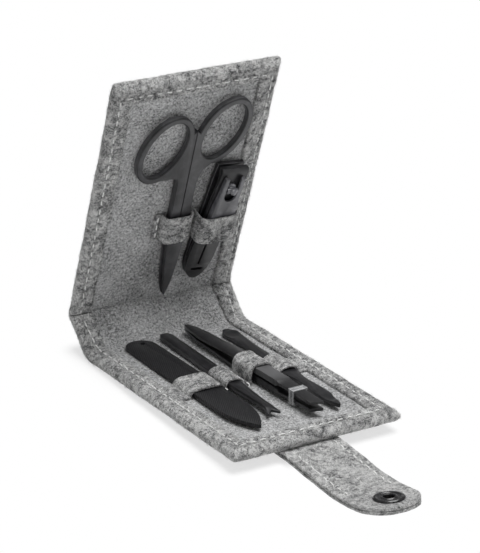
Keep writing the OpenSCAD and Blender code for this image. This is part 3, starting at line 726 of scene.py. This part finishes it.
def band(name, base_v, width, start, end, loops):
    """A felt strip over its loops, width wide along v from base_v."""
    lines = [band_line(start, end, loops, at_end) for at_end in (False, True)]

    def place(i, y, k):
        """i counts along the band's lines, y goes across its width and k through its thickness."""
        index, t = np.rint(i).astype(int), (y / width)[:, None]
        inner = (1 - t) * lines[0][0][index] + t * lines[1][0][index]
        outer = (1 - t) * lines[0][1][index] + t * lines[1][1][index]
        rim = np.clip(1 - np.minimum(y, width - y) / 0.5, 0, 1)
        k = 0.5 + (k - 0.5) * (1 - 0.45 * rim**2)
        spot = inner + (outer - inner) * k[:, None]
        flare = bell(np.minimum(y, width - y), 1.6) * np.clip(spot[:, 1] / 3, 0, 1)
        rough = 0.10 * lumps(i * 0.4, y, k, 1.8, 11) + 0.12 * lumps(i * 0.4, y, k, 5, 12)
        lift = spot[:, 1] + (0.2 * flare + rough) * k
        ragged = 0.16 * wave(i * 0.9, 9) + 0.12 * lumps(i * 0.4, y, k, 1.3, 13)
        slip = bell(np.minimum(y, width - y), 1.5) * ragged
        return CASE.at(spot[:, 0], base_v + y + slip, lining_top() + lift + 0.02)

    rim = np.array([0, 0.15, 0.35, 0.6])
    inside = spread(rim[-1], width - rim[-1], 0.65)[1:-1]
    across = np.concatenate([rim, inside, width - rim[::-1]])
    made = lattice(name, range(BAND_STEPS), across, [0, 0.33, 0.67, 1], place, sharp=70)
    run, flat = lines[0][2], made.data.attributes["flat"].data
    kept = np.empty(len(flat) * 3, np.float32)
    flat.foreach_get("vector", kept)
    kept = kept.reshape(-1, 3)
    kept[:, 0] = run[np.rint(kept[:, 0]).astype(int)] + LOOP_PATTERN_U
    kept[:, 2] *= mm("band_t")
    flat.foreach_set("vector", kept.ravel())
    finish(made, "loop_felt", loop_felt)
    return made


class CASE_OT_loops(bpy.types.Operator):
    """Make the two felt bands that hold the tools, and the seams between their loops"""

    bl_idname = "case.loops"
    bl_label = "Tool Loops"

    def execute(self, context):
        edge = mm("case_w") / 2 - mm("hem_w") + 0.4
        low, high = LOWER_BAND
        lower = band("lower_loops", low, high - low, -edge, edge, LOWER_LOOPS)
        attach(lower, "root")
        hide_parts("lower_loop_band")
        low, high = BACK_BAND
        back = band("back_loops", CREASE_V + low, high - low, BACK_BAND_U, edge, BACK_LOOPS)
        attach(back, "back")
        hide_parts("back_loop_band")
        foot = lining_top() + mm("band_t") + 0.25
        low, high = LOWER_BAND
        runs = []
        for u in LOWER_SEAMS_U:
            runs += seam_run((u, low - 2.4), (u, high + 0.8), foot)
        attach(stitches("lower_loop_stitches", CASE, runs, (1,), bite=0.8), "root")
        low, high = (CREASE_V + x for x in BACK_BAND)
        end_u, mid_u = BACK_SEAMS_U
        runs = seam_run((end_u, low + 0.6), (end_u, high - 0.6), foot)
        runs += seam_run((mid_u, low), (mid_u, high), foot)
        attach(stitches("back_loop_stitches", CASE, runs, (1,), bite=0.8), "back")
        return {"FINISHED"}


# Strap and snap


# Distance of the strap's seams from its edges, and the rows of vertices at its rim
STRAP_SEAM = 3.4
STRAP_RIM = np.array([0, 0.2, 0.45, 0.8])
# Distance of the snap from the strap's end, and the radius of its hole
SNAP_INSET, SNAP_HOLE_R = 10, 3.25


def strap_skin(low, high):
    """A place function for one ply of the strap, between two heights off the strap's middle."""

    def place(u, v, h):
        half_w, r, mid = mm("strap_w") / 2, 0.6, (low + high) / 2
        nose = np.clip((v - (END_V - half_w)) / half_w, 0, 1)
        x = u / half_w
        across = half_w * x * np.sqrt(1 - nose**2 / 2)
        along = np.where(nose > 0, END_V - half_w + half_w * nose * np.sqrt(1 - x**2 / 2), v)
        edge = np.minimum(half_w - np.abs(u), np.minimum(END_V - v, v))
        rim = np.clip(1 - edge / r, 0, 1)
        thick = mid + (h - mid) * (1 - 0.5 * rim**2)
        pull = 0.75 + 0.4 * np.cos(2 * np.pi * v / mm("stitch"))
        seam = bell(edge - STRAP_SEAM, 0.7) * pull
        outside = np.sign(mid) * (np.abs(h) > 0.5 * mm("ply_t"))
        thick -= outside * 0.25 * seam * (v > NECK_V - 8)
        lift = 0.05 * lumps(u, v, h, 2, 21) + 0.08 * lumps(u, v, h, 7, 22)
        wobble = bell(edge, 3) * (0.15 * wave(v, 4) + 0.1 * lumps(u, v, h, 1.5, 23))
        return STRAP.at(STRAP_X + across + np.sign(u) * wobble, along, thick + lift)

    return place


class CASE_OT_strap(bpy.types.Operator):
    """Make the strap's two felt plies and their seams, in pieces that meet between its folds"""

    bl_idname = "case.strap"
    bl_label = "Strap"

    def execute(self, context):
        half_w, ply_t = mm("strap_w") / 2, mm("ply_t")
        rim, step = STRAP_RIM, STRAP_RIM[-1]
        inner = spread(step - half_w, half_w - step, step)[1:-1]
        side = np.concatenate([rim - half_w, inner, (half_w - rim)[::-1]])
        root = np.concatenate([rim, spread(step, STRAP_SEAM_V, step)[1:]])
        tip = np.concatenate([spread(STRAP_SEAM_V, END_V - step, step), END_V - rim[-2::-1]])
        snap = (0, END_V - SNAP_INSET, SNAP_HOLE_R)
        for name, low, high in (("upper", -ply_t, -0.03), ("lower", 0.03, ply_t)):
            hs = np.linspace(low, high, 4)
            fixed = lattice(f"strap_{name}_root", side, root, hs, strap_skin(low, high))
            loose = lattice(f"strap_{name}_end", side, tip, hs, strap_skin(low, high), hole=snap)
            bend(fixed, "strap_fold")
            bend(loose, "strap_tip_fold")
            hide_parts(f"strap_root_{name}_ply", f"strap_neck_{name}_ply")
            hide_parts(f"strap_tip_{name}_ply")
            for piece in (fixed, loose):
                # The strap's plies use the outer felt painted lighter: painted light.
                finish(piece, "outer_felt", strap_felt_painted_lighter)
        height = ply_t + 0.05
        fixed, loose = [], []
        for u in (STRAP_X + STRAP_SEAM - half_w, STRAP_X + half_w - STRAP_SEAM):
            fixed += seam_run((u, NECK_V - 2), (u, STRAP_SEAM_V), height)
            loose += seam_run((u, STRAP_SEAM_V), (u, TIP_V + 3), height)
        bend(stitches("strap_root_stitches", STRAP, fixed, (1, -1)), "strap_fold")
        bend(stitches("strap_end_stitches", STRAP, loose, (1, -1)), "strap_tip_fold")
        return {"FINISHED"}


class CASE_OT_snap(bpy.types.Operator):
    """Finish the ring, cap, stud and post of the press snap"""

    bl_idname = "case.snap"
    bl_label = "Snap"

    def execute(self, context):
        for node in ("snap_socket", "snap_cap", "snap_stud", "snap_post"):
            carried(node, lacquered_metal, bevel=0.08)
        return {"FINISHED"}


# Tools


EASED_ANGLE = math.radians(30)


def carried(node, look, bevel=0.2, segments=2, shape=None, edge_look=None):
    """A CAD part with its edges eased by bevel millimetres, standing in for the node.

    shape moves the vertices a little and gives each edge its share of the bevel.
    edge_look is the finish of the eased edges, where it differs.
    """
    source = frame["nodes"][node]
    mesh = source.data.copy()
    mesh.name = f"{node}_finished"
    bm = bmesh.new()
    bm.from_mesh(mesh)
    bmesh.ops.remove_doubles(bm, verts=bm.verts, dist=1e-6)
    bmesh.ops.dissolve_limit(bm, angle_limit=math.radians(0.6), verts=bm.verts, edges=bm.edges)
    bm.to_mesh(mesh)
    bm.free()
    mesh.materials.clear()
    if shape:
        shape(mesh)
    made = object_from(f"{node}_finished", mesh)
    eased_edges = made.modifiers.new("Eased Edges", "BEVEL")
    eased_edges.width = bevel * MM
    eased_edges.segments = segments
    eased_edges.limit_method = "WEIGHT" if shape else "ANGLE"
    eased_edges.angle_limit = EASED_ANGLE
    eased_edges.harden_normals = True
    eased_edges.use_clamp_overlap = True
    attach(made, source["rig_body"])
    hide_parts(node)
    finish(made, frame_slot(node), look)
    if edge_look:
        made.data.materials.append(material_of(edge_look))
        eased_edges.material = 1


def frame_slot(node):
    """The record's finish for a node, or None."""
    for part in frame["record"].get("subparts", []):
        if part.get("node") == node:
            return part.get("material_slot")
    return None


# The scissors' finger rings: their middles from the blades' tip in millimetres, their tilt in
# degrees, half their height and width, and their wire; then the length from the tip to the rivet
# and half the thickness of a blade
RING_MIDDLES, RING_TILT = ((-12.4, 73.0), (12.4, 77.0)), 24.7
RING_A, RING_B, RING_WIRE = 15.6, 11.0, 3.3
BLADE_L, HALF_T = 33.0, 1.4
# How far a ring's outer and inner edge move, how thin its wire gets, how near an edge a vertex
# counts as on it, and the share of the bevel that the other edges get
OUTER_MOVE, INNER_MOVE = 0.977, 1.03
WIRE_THINNED = 0.88
ON_EDGE = 0.012
BLADE_SHARE = 0.3


def round_wire(mesh):
    """Makes the finger rings of the scissors of thinner, rounder wire.

    The rest keeps its flat faces, with slightly eased edges.
    """
    pivot = Vector(JOINTS["scissors_pivot"]["pos_m"])
    up, out = (Vector(JOINTS[name]["axis"]) for name in ("scissors_slide", "scissors_pivot"))
    axes = Matrix((up.cross(out), up, out))
    corner = Vector((0, BLADE_L, HALF_T))
    on_ring = set()
    for vertex in mesh.vertices:
        here = axes @ (vertex.co - pivot) / MM + corner
        for middle in RING_MIDDLES:
            way = Matrix.Rotation(math.radians(RING_TILT), 2) @ (here.xy - Vector(middle))
            for inset, closer in ((0, OUTER_MOVE), (RING_WIRE, INNER_MOVE)):
                far_out = math.hypot(way.x / (RING_B - inset), way.y / (RING_A - inset))
                if abs(far_out - 1) < ON_EDGE:
                    on_ring.add(vertex.index)
                    here.xy = Vector(middle) + (here.xy - Vector(middle)) * closer
                    here.z = HALF_T + WIRE_THINNED * (here.z - HALF_T)
                    vertex.co = pivot + axes.transposed() @ (here - corner) * MM
                    break
    share = mesh.attributes.new("bevel_weight_edge", "FLOAT", "EDGE")
    bm = bmesh.new()
    bm.from_mesh(mesh)
    bm.edges.ensure_lookup_table()
    for edge in bm.edges:
        if len(edge.link_faces) == 2 and edge.calc_face_angle() > EASED_ANGLE:
            on_wire = all(vert.index in on_ring for vert in edge.verts)
            share.data[edge.index].value = 1.0 if on_wire else BLADE_SHARE
    bm.free()


class CASE_OT_scissors(bpy.types.Operator):
    """Finish the scissors"""

    bl_idname = "case.scissors"
    bl_label = "Scissors"

    def execute(self, context):
        for half in ("scissors_right_half", "scissors_left_half"):
            # The eased edges, most of all the ring wire's rounded sides, are darker black steel:
            # painted shade.
            carried(half, satin_steel, 1.0, segments=4, shape=round_wire, edge_look=black_steel)
        carried("scissors_rivet", satin_steel, bevel=0.15)
        return {"FINISHED"}


class CASE_OT_clipper(bpy.types.Operator):
    """Finish the nail clipper"""

    bl_idname = "case.clipper"
    bl_label = "Nail Clipper"

    def execute(self, context):
        # The clipper's eased edges are much lighter steel: a painted highlight along them.
        carried("clipper_lower_arm", black_steel, bevel=0.22, edge_look=edge_highlight_steel)
        carried("clipper_upper_arm", black_steel, bevel=0.22, edge_look=edge_highlight_steel)
        carried("clipper_lever", lever_steel, bevel=0.25, edge_look=edge_highlight_steel)
        carried("clipper_pin", polished_steel, bevel=0.1)
        return {"FINISHED"}


class CASE_OT_lower_tools(bpy.types.Operator):
    """Finish the file, the trimmer, the tweezers and the pusher"""

    bl_idname = "case.lower_tools"
    bl_label = "Lower Tools"

    def execute(self, context):
        carried("nail_file", file_steel, bevel=0.2)
        carried("cuticle_trimmer", black_steel, bevel=0.3)
        # The tweezers' eased edges are lighter satin steel, a painted highlight; the upper arm also
        # carries a painted highlight at its grip.
        carried("tweezers_lower_arm", black_steel, bevel=0.18, edge_look=satin_steel)
        carried("tweezers_upper_arm", grip_highlight_steel, bevel=0.18, edge_look=satin_steel)
        carried("tweezers_keeper", clear_plastic, bevel=0.12, edge_look=clear_edge)
        carried("cuticle_pusher", black_steel, bevel=0.3)
        return {"FINISHED"}


# Finishes


def maths(operation, swapped=False):
    """A method that adds a Math node for a wire and another wire or a number."""

    def apply(self, other=0.0):
        pair = (other, self) if swapped else (self, other)
        return self.finish.node("ShaderNodeMath", {"operation": operation}, pair)

    return apply


class Wire:
    """A node's output in a finish; plain arithmetic on it adds the nodes."""

    def __init__(self, finish, socket):
        self.finish, self.socket = finish, socket

    __add__, __radd__ = maths("ADD"), maths("ADD", True)
    __sub__, __rsub__ = maths("SUBTRACT"), maths("SUBTRACT", True)
    __mul__, __rmul__ = maths("MULTIPLY"), maths("MULTIPLY", True)
    __pow__, __rpow__ = maths("POWER"), maths("POWER", True)
    __abs__, at_least = maths("ABSOLUTE"), maths("MAXIMUM")

    def sine(self):
        return self.finish.node("ShaderNodeMath", {"operation": "SINE"}, (self,))

    def ramp(self, low, high, start=0.0, end=1.0):
        """start below low, end above high, and a smooth step between."""
        smooth = {"interpolation_type": "SMOOTHSTEP"}
        return self.finish.node("ShaderNodeMapRange", smooth, (self, low, high, start, end))

    def ridge(self, width):
        """1 where the wire is a half, falling to 0 at that width on both sides."""
        return abs(self - 0.5).ramp(0.0, width, 1.0, 0.0)

    def mixed(self, first, second):
        """From the first colour at 0 to the second at 1."""
        return self.finish.node(
            "ShaderNodeMix", {"data_type": "RGBA"}, {0: self, 6: first, 7: second}, out=2
        )


class Finish:
    """A material under construction; gloss is how strongly it mirrors."""

    def __init__(self, name, gloss, **constants):
        self.material = bpy.data.materials.new(name)
        self.material.use_nodes = True
        self.tree = self.material.node_tree
        self.surface = self.tree.nodes["Principled BSDF"]
        self.set(Specular_IOR_Level=gloss, **constants)

    def node(self, kind, settings=None, values=(), out=0, **sockets):
        """Adds a node and gives one of its outputs."""
        made = self.tree.nodes.new(kind)
        for name, value in (settings or {}).items():
            setattr(made, name, value)
        indexed = values.items() if isinstance(values, dict) else enumerate(values)
        for index, value in indexed:
            self.feed(made.inputs[index], value)
        for name, value in sockets.items():
            self.feed(made.inputs[name.replace("_", " ")], value)
        return Wire(self, made.outputs[out])

    def feed(self, socket, value):
        """Links a wire to an input, or sets its value."""
        if isinstance(value, Wire):
            self.tree.links.new(value.socket, socket)
        else:
            socket.default_value = value

    def set(self, **sockets):
        """Feeds the surface's inputs."""
        for name, value in sockets.items():
            self.feed(self.surface.inputs[name.replace("_", " ")], value)

    def flat(self):
        """The place on the uncut cloth, in millimetres."""
        return self.node("ShaderNodeAttribute", {"attribute_name": "flat"}, out="Vector")

    def place(self, scale=(1000, 1000, 1000)):
        """The place on the piece, in millimetres unless scaled otherwise."""
        here = self.node("ShaderNodeTexCoord", out="Object")
        return self.node("ShaderNodeMapping", {}, Vector=here, Scale=scale)

    def parts(self, where):
        """The x, y and z of a place."""
        first = self.node("ShaderNodeSeparateXYZ", {}, (where,))
        return [Wire(self, socket) for socket in first.socket.node.outputs]

    def noise(self, where, scale, detail=2.0, roughness=0.5, distortion=0.0):
        """Noise from 0 to 1 with about that many lumps to a millimetre."""
        return self.node(
            "ShaderNodeTexNoise", {}, Vector=where, Scale=scale, Detail=detail,
            Roughness=roughness, Distortion=distortion,
        )

    def seen_directly(self):
        """1 for what the camera sees itself, in gloss or through glass, else 0."""
        camera, gloss, glass = (
            self.node("ShaderNodeLightPath", out=f"Is {kind} Ray")
            for kind in ("Camera", "Glossy", "Transmission")
        )
        return (camera + gloss + glass).ramp(0.0, 1.0)

    def bump(self, height, distance):
        """Relief of that many millimetres."""
        self.set(Normal=self.node("ShaderNodeBump", {}, Height=height, Distance=distance * MM))


LOOKS = {}


def material_of(look):
    """The material of a look, made once."""
    if look not in LOOKS:
        LOOKS[look] = look()
    return LOOKS[look]


def finish(piece, slot, look):
    """Gives a piece its material; slot is not used."""
    piece.data.materials.clear()
    piece.data.materials.append(material_of(look))


def refinish(node, look):
    """Gives a CAD node its material."""
    for kept in node.material_slots:
        kept.material = material_of(look)


HAIR_RIDGE = 0.03


def wool(name, pale, contrast):
    """Pressed wool of mixed light and dark fibres; pale is the share of light ones."""
    made = Finish(name, 0.15, Roughness=0.95, Sheen_Weight=0.2, Sheen_Roughness=0.5)
    cloth = made.flat()
    cloud = made.noise(cloth, 0.13, 2.0, 0.5)
    blotch = made.noise(cloth, 0.34, 2.0, 0.55, 0.6)
    tuft = made.noise(cloth, 0.8, 3.0, 0.6, 1.0)
    fleck = made.noise(cloth, 1.9, 3.0, 0.7, 1.2)
    light_hair = made.noise(cloth, 0.7, 2.0, 0.5, 3.4).ridge(HAIR_RIDGE)
    fine_hair = made.noise(cloth, 1.3, 1.0, 0.5, 2.6).ridge(HAIR_RIDGE)
    dark_hair = made.noise(cloth, 0.9, 2.0, 0.5, 2.8).ridge(HAIR_RIDGE)
    spread_of_tone = 0.9 * (cloud - 0.5) + 2.0 * (blotch - 0.5)
    spread_of_tone += 2.6 * (tuft - 0.5) + 2.8 * (fleck - 0.5)
    hairs = 0.6 * light_hair + 0.55 * fine_hair - 0.55 * dark_hair
    share = pale + contrast * (spread_of_tone + hairs)
    dark, mid, light = tint("felt_dark"), tint("felt_mid"), tint("felt_light")
    lower = share.ramp(-0.45, 0.5).mixed(dark, mid)
    made.set(Base_Color=share.ramp(0.5, 1.45).mixed(lower, light))
    made.bump(fleck * 0.6 + tuft * 1.0 + blotch + 0.4 * (light_hair + fine_hair), 0.35)
    return made.material


def loose_wool():
    """Single hairs of wool."""
    made = Finish("Loose Wool", 0.2, Roughness=0.8, Sheen_Weight=0.3)
    tone = made.noise(made.flat(), 0.5, 2.0, 0.6)
    made.set(Base_Color=tone.ramp(0.3, 0.6).mixed(tint("felt_mid"), tint("felt_light")))
    return made.material


def outer_felt():
    return wool("Outer Felt", 0.61, 1.75)


def loop_felt():
    return wool("Loop Felt", 0.45, 1.6)


# The outer felt, painted lighter for the strap: painted light.
def strap_felt_painted_lighter():
    return wool("Strap Felt", 0.80, 1.55)


def lining_cloth():
    """Smooth fine felt with small flecks."""
    made = Finish("Lining Felt", 0.15, Roughness=0.9, Sheen_Weight=0.15, Sheen_Roughness=0.4)
    cloth = made.flat()
    cloud = made.noise(cloth, 0.06, 3.0, 0.6)
    grain = made.noise(cloth, 1.0, 3.0, 0.7, 0.6)
    fine = made.noise(cloth, 2.6, 2.0, 0.7, 0.5)
    hair = made.noise(cloth, 1.2, 1.0, 0.4, 2.4).ridge(HAIR_RIDGE)
    share = 0.5 + 3.6 * (grain - 0.5) + 2.6 * (fine - 0.5) + 1.2 * (cloud - 0.5) + hair * 0.3
    made.set(Base_Color=share.ramp(-0.6, 1.6).mixed(tint("lining", 0.15), tint("lining", 1.95)))
    made.bump(grain + fine * 0.6 + hair * 0.4, 0.16)
    return made.material


def sewing_thread():
    """Twisted light thread."""
    made = Finish("Sewing Thread", 0.35, Roughness=0.6, Sheen_Weight=0.2)
    x, y, z = made.parts(made.flat())
    twist_and_groove_shade = (x * 9.0 + y * 7.0 + z * 5.0).sine() * 0.5 + 0.5
    # Darker stripes in the twist's grooves are painted shade; the same twist also gives the bump.
    made.set(Base_Color=twist_and_groove_shade.ramp(0.0, 0.5).mixed(tint("thread", 0.7), tint("thread")))
    made.bump(twist_and_groove_shade, 0.08)
    return made.material


def grey_board():
    """Pressed grey board."""
    made = Finish("Grey Board", 0.3, Roughness=0.85)
    fibre = made.noise(made.place(), 1.5, 4.0, 0.7)
    made.set(Base_Color=fibre.ramp(0.3, 0.7).mixed(tint("board", 0.6), tint("board")))
    made.bump(fibre, 0.08)
    return made.material


def dark_metal(name, roughness, gloss, gain=1.0):
    """Blackened metal with a satin grain and faint wear; gain lightens it."""
    made = Finish(name, gloss)
    grain = made.noise(made.place(scale=(1000, 260, 260)), 3.0, 3.0, 0.6)
    smudge = made.noise(made.place(), 0.18, 3.0, 0.6, 0.4)
    made.set(
        Base_Color=smudge.ramp(0.35, 0.75).mixed(tint("steel", gain), tint("steel", 2.4 * gain)),
        Roughness=roughness + 0.10 * (smudge - 0.5) + 0.08 * (grain - 0.5),
    )
    made.bump(grain, 0.012)
    return made


def black_steel():
    return dark_metal("Black Steel", 0.34, 0.42).material


def satin_steel():
    return dark_metal("Satin Steel", 0.42, 0.75, gain=2.2).material


# Lighter steel for eased edges: a painted highlight.
def edge_highlight_steel():
    return dark_metal("Worn Edge Steel", 0.3, 0.9, gain=6.0).material


def lever_steel():
    return dark_metal("Lever Steel", 0.34, 0.8, gain=6.5).material


# Where the painted highlight on the tweezers' grips starts, is full, and starts and ends to fade,
# along the panel
GRIP_HIGHLIGHT_V = (32, 42, 54, 62)


def grip_highlight_steel():
    """Black steel, painted lighter at the tweezers' grips: a painted highlight."""
    made = dark_metal("Grip Steel", 0.36, 0.7)
    y = made.parts(made.place())[1]
    ends = [CASE.point(v).y / MM for v in GRIP_HIGHLIGHT_V]
    highlight_band = y.ramp(*ends[:2]) * y.ramp(*ends[2:], 1.0, 0.0)
    made.set(Base_Color=highlight_band.mixed(tint("steel"), (0.10, 0.10, 0.103, 1.0)))
    return made.material


def polished_steel():
    return dark_metal("Pin Steel", 0.2, 1.0, gain=10.0).material


def lacquered_metal():
    return dark_metal("Lacquered Metal", 0.26, 0.6).material


def file_steel():
    """Black steel with the crossed teeth of a file."""
    made = Finish("File Steel", 0.3)
    here = made.place()
    x, y, _ = made.parts(here)
    first, second = ((x * turn + y * 5.2).sine() * 0.5 + 0.5 for turn in (6.4, -6.4))
    teeth = first * second
    smudge = made.noise(here, 0.15, 3.0, 0.6)
    made.set(
        Base_Color=teeth.ramp(0.0, 0.8).mixed(tint("steel"), tint("steel", 2.0)),
        Roughness=0.42 + 0.12 * (smudge - 0.5) - 0.08 * teeth,
    )
    made.bump(teeth, 0.10)
    return made.material


def clear_plastic():
    """Thin clear plastic, whiter where it is seen edge on: a painted reflection."""
    made = Finish("Clear Plastic", 0.6, Base_Color=(0.92, 0.93, 0.94, 1.0), Roughness=0.12)
    facing = made.node("ShaderNodeLayerWeight", {}, (0.45,), out="Facing")
    haze = made.noise(made.place(), 0.9, 2.0, 0.6)
    made.set(Alpha=0.05 + 0.5 * facing**2 + 0.04 * (haze - 0.5))
    made.bump(haze, 0.03)
    return made.material


def clear_edge():
    """The pale cut edges of clear plastic."""
    pale = (0.85, 0.86, 0.87, 1.0)
    return Finish("Clear Plastic Edge", 0.6, Base_Color=pale, Roughness=0.3, Alpha=0.6).material


# Stage


# Each lamp is its name, place, size and power
LAMPS = (
    ("key_lamp", (0.2, -0.1, 1.35), 1.1, 20.0),
    ("front_lamp", (-0.7, -1.5, 0.6), 1.4, 2.5),
)
LAMP_AIM = Vector((0.0, 0.03, 0.04))
SOFT_LIGHT = 0.22
# The case's foot on the floor, in metres, and how the floor pales to white around it
FOOT_HALF_W, FOOT_MIDDLE_Y, FOOT_HALF_L = 0.032, 0.028, 0.056
SHADE_START, SHADE_END, WHITE_AT_FOOT = 0.002, 0.011, 0.68


class CASE_OT_stage(bpy.types.Operator):
    """Set the floor, the lamps and the camera"""

    bl_idname = "case.stage"
    bl_label = "Stage"

    def execute(self, context):
        self.floor()
        for name, place, size, power in LAMPS:
            self.lamp(name, place, size, power)
        self.surroundings()
        self.camera()
        return {"FINISHED"}

    def floor(self):
        """A pale floor, pure white away from the case for whoever looks at it."""
        bm = bmesh.new()
        bmesh.ops.create_grid(bm, x_segments=8, y_segments=8, size=4.0)
        mesh = bpy.data.meshes.new("floor")
        bm.to_mesh(mesh)
        bm.free()
        made = object_from("floor", mesh)
        look = Finish("Pale Floor", 0.1, Base_Color=(0.96, 0.96, 0.96, 1.0), Roughness=0.9)
        seen = look.seen_directly()
        x, y, _ = look.parts(look.place(scale=(1, 1, 1)))
        beside = (abs(x) - FOOT_HALF_W).at_least(0.0)
        before = (abs(y - FOOT_MIDDLE_Y) - FOOT_HALF_L).at_least(0.0)
        far_off = (beside * beside + before * before) ** 0.5
        white = look.node("ShaderNodeEmission", {}, Color=(1.0, 1.0, 1.0, 1.0), Strength=1.0)
        share = seen * far_off.ramp(SHADE_START, SHADE_END, WHITE_AT_FOOT, 1.0)
        shaded = Wire(look, look.surface.outputs[0])
        both = look.node("ShaderNodeMixShader", {}, (share, shaded, white))
        look.feed(look.tree.nodes["Material Output"].inputs[0], both)
        mesh.materials.append(look.material)

    def lamp(self, name, place, size, power):
        """A round lamp turned towards the case."""
        data = bpy.data.lights.new(name, "AREA")
        data.shape, data.size, data.energy = "DISK", size, power
        made = placed(name, data)
        made.location = place
        made.rotation_euler = (LAMP_AIM - made.location).to_track_quat("-Z", "Y").to_euler()

    def surroundings(self):
        """Soft light from all sides, seen as white."""
        world = bpy.data.worlds.new("Soft Light")
        world.use_nodes = True
        nodes, links = world.node_tree.nodes, world.node_tree.links
        seen = nodes.new("ShaderNodeLightPath")
        level = nodes.new("ShaderNodeMix")
        level.inputs[2].default_value, level.inputs[3].default_value = SOFT_LIGHT, 1.0
        links.new(seen.outputs["Is Camera Ray"], level.inputs[0])
        links.new(level.outputs[0], nodes["Background"].inputs["Strength"])
        nodes["Background"].inputs["Color"].default_value = (1, 1, 1, 1)
        bpy.context.scene.world = world

    def camera(self):
        """The viewpoint found from the corners of both panels, in the lower panel's frame.

        focal, off_x and off_y are in pixels of a picture that is height pixels high.
        """
        turn, drop, roll = (math.radians(x) for x in (32.18, 22.05, 0.66))
        distance, focal = 1002.6, 2701.7
        off_x, off_y, height = -11.0, 24.1, 553
        looked_at = Vector((35, 60, 30))
        level = Vector((math.sin(turn), math.cos(turn), 0))
        forward = level * math.cos(drop) + Vector((0, 0, -math.sin(drop)))
        right = Vector((math.cos(turn), -math.sin(turn), 0))
        up = right.cross(forward)
        right, up = (
            math.cos(roll) * right + math.sin(roll) * up,
            math.cos(roll) * up - math.sin(roll) * right,
        )
        spot = looked_at - forward * distance
        axes = Matrix((right, up, -forward)).transposed().to_4x4()
        tilt = Matrix.Rotation(-math.radians(REST_TILT), 4, "X")
        panel = Matrix.Translation(CASE.point(0, mm("panel_t") / 2)) @ tilt
        case = panel @ Matrix.Translation(Vector((-mm("case_w") / 2, 0, 0)) * MM)
        data = bpy.data.cameras.new("camera")
        data.sensor_width = 36
        data.lens = focal / height * data.sensor_width
        data.shift_x, data.shift_y = -off_x / height, off_y / height
        data.clip_end = 20
        made = placed("camera", data)
        made.matrix_world = case @ Matrix.Translation(spot * MM) @ axes
        bpy.context.scene.camera = made


class CASE_PT_panel(bpy.types.Panel):
    """Lists the case's pieces, sizes and colours"""

    bl_idname = "CASE_PT_panel"
    bl_label = "Manicure Case"
    bl_space_type = "VIEW_3D"
    bl_region_type = "UI"
    bl_category = "Manicure Case"

    def draw(self, context):
        for operator in OPERATORS:
            self.layout.operator(operator.bl_idname)
        for group in (context.scene.case_sizes, context.scene.case_colours):
            box = self.layout.box()
            for name in group.__annotations__:
                box.prop(group, name)


OPERATORS = (
    CASE_OT_stage, CASE_OT_felt, CASE_OT_fuzz, CASE_OT_lining, CASE_OT_boards, CASE_OT_stitches,
    CASE_OT_loops, CASE_OT_strap, CASE_OT_snap, CASE_OT_scissors, CASE_OT_clipper,
    CASE_OT_lower_tools,
)
CLASSES = (CaseSizes, CaseColours, *OPERATORS, CASE_PT_panel)


def register():
    for cls in CLASSES:
        bpy.utils.register_class(cls)
    bpy.types.Scene.case_sizes = bpy.props.PointerProperty(type=CaseSizes)
    bpy.types.Scene.case_colours = bpy.props.PointerProperty(type=CaseColours)


def unregister():
    del bpy.types.Scene.case_sizes, bpy.types.Scene.case_colours
    for cls in reversed(CLASSES):
        bpy.utils.unregister_class(cls)


def main():
    register()
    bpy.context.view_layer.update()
    for operator in OPERATORS:
        group, name = operator.bl_idname.split(".")
        getattr(getattr(bpy.ops, group), name)()
    bpy.context.scene.view_settings.view_transform = "Standard"


if __name__ == "__main__":
    main()
